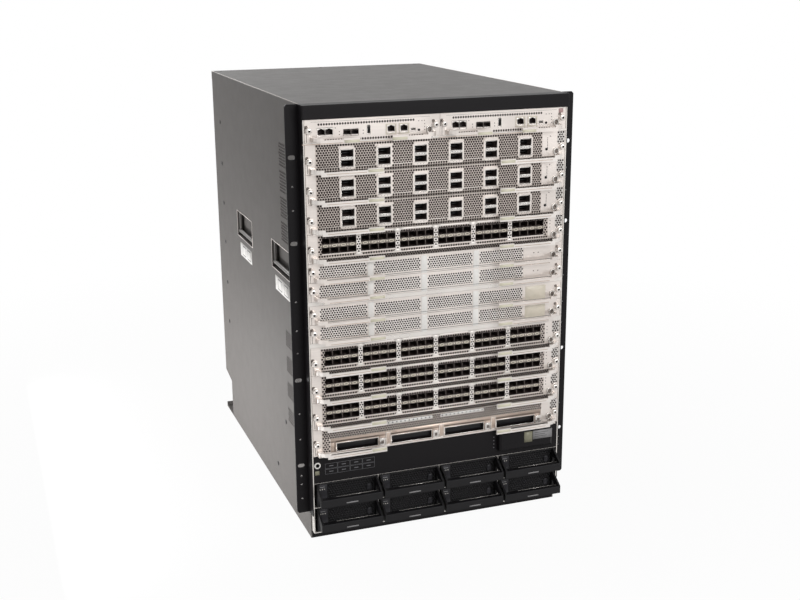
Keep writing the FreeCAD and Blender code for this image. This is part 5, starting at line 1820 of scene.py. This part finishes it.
@dataclass(frozen=True)
class FanTray:
    """Fittings of a fan tray's back plate, and caps on its two rotors."""
    level: str
    plate: float = 2.3
    screw: CaptiveScrew = CaptiveScrew(5.0, 0.4, 16, 9.0, 6.0)
    screw_inset: float = 9.0
    label: tuple[float, float] = (34.0, 14.0)
    label_u: float = -160.0
    label_drop: float = 14.0
    lamps: tuple[float, float] = (160.0, 166.0)
    lamp_drop: float = 12.0
    grip: tuple[float, float] = (16.0, 130.0)
    cap_rings: tuple[tuple[float, float, float, Look], ...] = (
        (33.0, 7.0, 0.6, Look.FAN_PLASTIC), (24.0, 15.0, 0.75, Look.GREY_FILM))

    def fittings(self, foot: float, top: float) -> list[Surface]:
        """Make thumb screws, a bare label, lamps and the plate's middle strip.

        Args:
            foot: level of the tray's lower edge.
            top: level of its upper edge.
        Returns:
            The surfaces, drawn from the chassis's middle and foot.
        """
        corners = grid_of([self.screw_inset - FACE_HALF, FACE_HALF - self.screw_inset],
                          [foot + self.screw_inset, top - self.screw_inset])
        label = pad(clipped(*self.label, 1.0), 0.2, Look.WHITE_FILM)
        grip = pad(clipped(*self.grip, 2.0), 0.25, Look.GREY_PLASTIC)
        return [self.screw.build().at(corners),
                label.at([(self.label_u, top - self.label_drop, 0)]),
                dots([(u, top - self.lamp_drop) for u in self.lamps], 1.4, Look.LAMP, 0.3),
                grip.at([(0.0, (foot + top) / 2, 0)])]

    def cap(self, rotor: str) -> Surface:
        """Make the two flat rings on a rotor's hub.

        Args:
            rotor: the rotor's node.
        Returns:
            The rings in place on the chassis.
        """
        near, far = low(rotor), high(rotor)
        rings = [frame_rim(disc(outer, 32), disc(inner, 32), height, look)
                 for outer, inner, height, look in self.cap_rings]
        return Surface.joined(rings).on(Side.REAR, [((near[0] + far[0]) / 2, far[1],
                                                     (near[2] + far[2]) / 2)])

    def build(self) -> None:
        """Make the fittings of the plate and a cap on each rotor's hub."""
        tray = f"fan_tray_{self.level}"
        dress(tray, Look.ZINC)
        place = [(0, REAR + self.plate, 0)]
        parts = self.fittings(low(tray)[2], high(tray)[2])
        make_piece(tray + "_fittings", [part.on(Side.REAR, place) for part in parts], tray)
        for side in ("left", "right"):
            rotor = f"fan_rotor_{self.level}_{side}"
            dress(rotor, Look.FAN_PLASTIC)
            make_piece(rotor + "_cap", [self.cap(rotor)], rotor)


@dataclass(frozen=True)
class Enclosure:
    """Finishes of the fixed sheet metal, with the cover's screws, painted highlights along its folded
    side edges and the tray's lip.
    """
    looks: tuple[tuple[str, Look], ...] = (
        ("base_tray", Look.SIDE_PAINT), ("top_cover", Look.COVER_PAINT),
        ("top_bezel", Look.BLACK_PAINT), ("rack_ears", Look.BLACK_PAINT),
        ("card_cage", Look.TIN_PLATE), ("card_guides", Look.TIN_PLATE),
        ("cage_shelves", Look.TIN_PLATE), ("backplane_boards", Look.BOARD))
    rear_pitch: float = 95.0
    rear_level: float = 701.0
    rear_proud: float = 1.5
    top_pitch: float = 205.0
    top_inset: float = 10.0
    # Width of the painted highlight along each folded side edge of the cover.
    fold: float = 1.3
    tray_lip: float = 14.0

    def cover_parts(self) -> list[Surface]:
        """Make the screws in the cover's rear edge and top, and a painted highlight, a thin strip of
        bright steel, along both its folded side edges.

        Returns:
            The surfaces in place on the chassis.
        """
        head = Surface.joined([pad(disc(3.6, 16), 0.45, Look.BLACK_PLASTIC, 0.2),
                               leaf(rectangle(3.8, 0.8), 0.47, Look.DARK)])
        first, last = low("top_cover"), high("top_cover")
        rear = [(u, REAR + self.rear_proud, self.rear_level) for u in spread(5, self.rear_pitch)]
        top = [(u, REAR - self.top_inset, last[2]) for u in spread(3, self.top_pitch)]
        # Painted highlight: a thin strip of bright card steel where each rounded side edge of the cover
        # catches light.
        fold = pad(rectangle(self.fold, last[1] - first[1] - 2.0), FILM, Look.CARD_STEEL, 0.1)
        sides = [(x, (first[1] + last[1]) / 2, last[2])
                 for x in (first[0] + self.fold / 2, last[0] - self.fold / 2)]
        return [head.on(Side.REAR, rear), head.on(Side.TOP, top), fold.on(Side.TOP, sides)]

    def lip(self) -> Surface:
        """Make the black face of the base tray's front lip.

        Returns:
            The face in place on the chassis.
        """
        tray = low("base_tray")
        face = leaf(rectangle(-2 * tray[0] - 4.0, self.tray_lip, 0, self.tray_lip / 2), SKIN,
                    Look.BLACK_PAINT)
        return face.on(Side.FRONT, [(0, tray[1], 0)])

    def build(self) -> None:
        """Dress every fixed node and the bails, then make the cover's parts and the tray's lip."""
        for node, look in self.looks:
            dress(node, look)
        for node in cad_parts:
            if node.endswith("_bail"):
                dress(node, Look.BAIL_STEEL)
        make_piece("cover_screws", self.cover_parts() + [self.lip()], "chassis")


# ---------------------------------------------------------------- studio

@dataclass(frozen=True)
class Camera:
    """Viewing angle: place in metres, compass turn, height angle and roll in degrees, and lens."""
    place: Place = (-0.685576, -2.045609, 0.903964)
    turn: float = -19.894
    rise: float = 15.674
    roll: float = -0.443
    lens: float = 53.404

    def build(self) -> None:
        """Set the camera; its axes are right, up and backwards as matrix columns."""
        turn, rise, roll = (math.radians(a) for a in (self.turn, self.rise, self.roll))
        back = Vector((math.sin(turn) * math.cos(rise), -math.cos(turn) * math.cos(rise),
                       math.sin(rise)))
        right = (-back).cross(Vector((0, 0, 1))).normalized()
        up = right.cross(-back)
        x = right * math.cos(roll) + up * math.sin(roll)
        y = up * math.cos(roll) - right * math.sin(roll)
        data = bpy.data.cameras.new("camera")
        data.lens = self.lens
        data.clip_start, data.clip_end = 0.05, 50.0
        camera = bpy.data.objects.new("camera", data)
        matrix = Matrix((x, y, back)).transposed().to_4x4()
        matrix.translation = Vector(self.place)
        camera.matrix_world = matrix
        bpy.context.scene.collection.objects.link(camera)
        bpy.context.scene.camera = camera


@dataclass(frozen=True)
class SoftBox:
    """Soft lamp aimed at a place on the chassis, in metres and watts; share is height to width."""
    name: str
    place: Place
    size: float
    power: float
    share: float = 1.0
    target: Place = (0.0, 0.0, 0.35)

    def build(self) -> None:
        """Make the lamp."""
        data = bpy.data.lights.new(self.name, "AREA")
        data.shape, data.size, data.size_y = "RECTANGLE", self.size, self.size * self.share
        data.energy = self.power
        lamp = bpy.data.objects.new(self.name, data)
        lamp.location = self.place
        aim = Vector(self.target) - lamp.location
        lamp.rotation_euler = aim.to_track_quat("-Z", "Y").to_euler()
        bpy.context.scene.collection.objects.link(lamp)


@dataclass(frozen=True)
class Studio:
    """Pale floor, white surroundings and soft lamps; the floor's places are in metres."""
    floor_colour: Colour = (0.86, 0.855, 0.85)
    floor_white: float = 0.955
    floor_reach: float = 60.0
    floor_drop: float = 0.0005
    fade: tuple[float, float] = (0.5, 1.6)
    fill: float = 0.21
    lamps: tuple[SoftBox, ...] = (
        SoftBox("front_lamp", (0.9, -3.4, 1.8), 1.5, 62.0),
        SoftBox("top_lamp", (-0.5, 1.2, 1.2), 0.6, 6.0, 1.0, (0.0, 0.0, 0.7)),
        SoftBox("low_lamp", (-0.62, 0.12, 0.07), 1.0, 3.4, 0.1, (-0.2, 0.12, 0.06)))

    def seen(self, tree: bpy.types.NodeTree) -> bpy.types.NodeSocket:
        """1 for rays from the camera, a mirror or a clear body, 0 for light itself.

        Args:
            tree: node tree to make it in.
        Returns:
            The output that holds it.
        """
        path = tree.nodes.new("ShaderNodeLightPath")
        total = path.outputs["Is Camera Ray"]
        for name in ("Is Glossy Ray", "Is Transmission Ray"):
            add = tree.nodes.new("ShaderNodeMath")
            add.operation, add.use_clamp = "ADD", True
            tree.links.new(total, add.inputs[0])
            tree.links.new(path.outputs[name], add.inputs[1])
            total = add.outputs[0]
        return total

    def world(self) -> None:
        """White where it is seen, and a softer fill as light."""
        world = bpy.data.worlds.new("studio")
        world.use_nodes = True
        tree = world.node_tree
        light = tree.nodes["Background"]
        light.inputs["Color"].default_value = (1.0, 0.99, 0.98, 1)
        light.inputs["Strength"].default_value = self.fill
        white = tree.nodes.new("ShaderNodeBackground")
        white.inputs["Color"].default_value = (1, 1, 1, 1)
        mix = tree.nodes.new("ShaderNodeMixShader")
        tree.links.new(self.seen(tree), mix.inputs[0])
        tree.links.new(light.outputs[0], mix.inputs[1])
        tree.links.new(white.outputs[0], mix.inputs[2])
        tree.links.new(mix.outputs[0], tree.nodes["World Output"].inputs[0])
        bpy.context.scene.world = world

    def floor(self) -> None:
        """Flat pale floor that keeps its shadow near the chassis and turns white further out."""
        mesh = bpy.data.meshes.new("floor")
        reach = self.floor_reach
        corners = [(u, v, -self.floor_drop) for u, v in rectangle(2 * reach, 2 * reach)]
        mesh.from_pydata(corners, [], [(0, 1, 2, 3)])
        s = Shader("floor")
        s.set(Base_Color=s.shades(s.noise(3.0), toned(self.floor_colour, 0.98), self.floor_colour))
        s.set(Roughness=0.7, Specular_IOR_Level=0.2)
        glow = s.node("Emission", {"Color": (1, 1, 1, 1), "Strength": 1.0})
        away = s.node("VectorMath", {0: s.coordinates}, operation="LENGTH").outputs["Value"]
        white = s.between(away, self.floor_white, 1.0, *self.fade)
        share = s.maths("MULTIPLY", self.seen(s.tree), white)
        mix = s.node("MixShader", {0: share})
        s.tree.links.new(s.surface.outputs[0], mix.inputs[1])
        s.tree.links.new(glow.outputs[0], mix.inputs[2])
        s.tree.links.new(mix.outputs[0], s.tree.nodes["Material Output"].inputs[0])
        mesh.materials.append(s.material)
        floor = bpy.data.objects.new("floor", mesh)
        bpy.context.scene.collection.objects.link(floor)

    def build(self) -> None:
        """Make the surroundings, the floor and the lamps."""
        self.world()
        self.floor()
        for lamp in self.lamps:
            lamp.build()
        bpy.context.scene.view_settings.view_transform = "Standard"


def main() -> None:
    """Build every sub-assembly, then the studio and the camera."""
    logging.basicConfig(level=logging.INFO, format="%(name)s: %(message)s")
    Enclosure().build()
    for side, node in ((Side.LEFT, "left_side_panel"), (Side.RIGHT, "right_side_panel")):
        SidePanel(side, node).build()
    PowerPanel().build()
    ControlCard("control_card_left").build()
    ControlCard("control_card_right", shift=FACE_HALF + JOINT_GAP).build()
    kinds = [WindowCard] * 3 + [DenseCard] * 4 + [BayCard]
    for number, kind in enumerate(kinds, 1):
        kind(f"line_card_{number}").build()
    for number in range(1, 5):
        FabricCard(f"fabric_card_{number}", labelled=number > 2).build()
    for number in range(1, 9):
        PowerSupply(f"power_supply_{number}").build()
    RearWall().build()
    for level in ("lower", "upper"):
        FanTray(level).build()
    Studio().build()
    Camera().build()


if __name__ == "__main__":
    main()
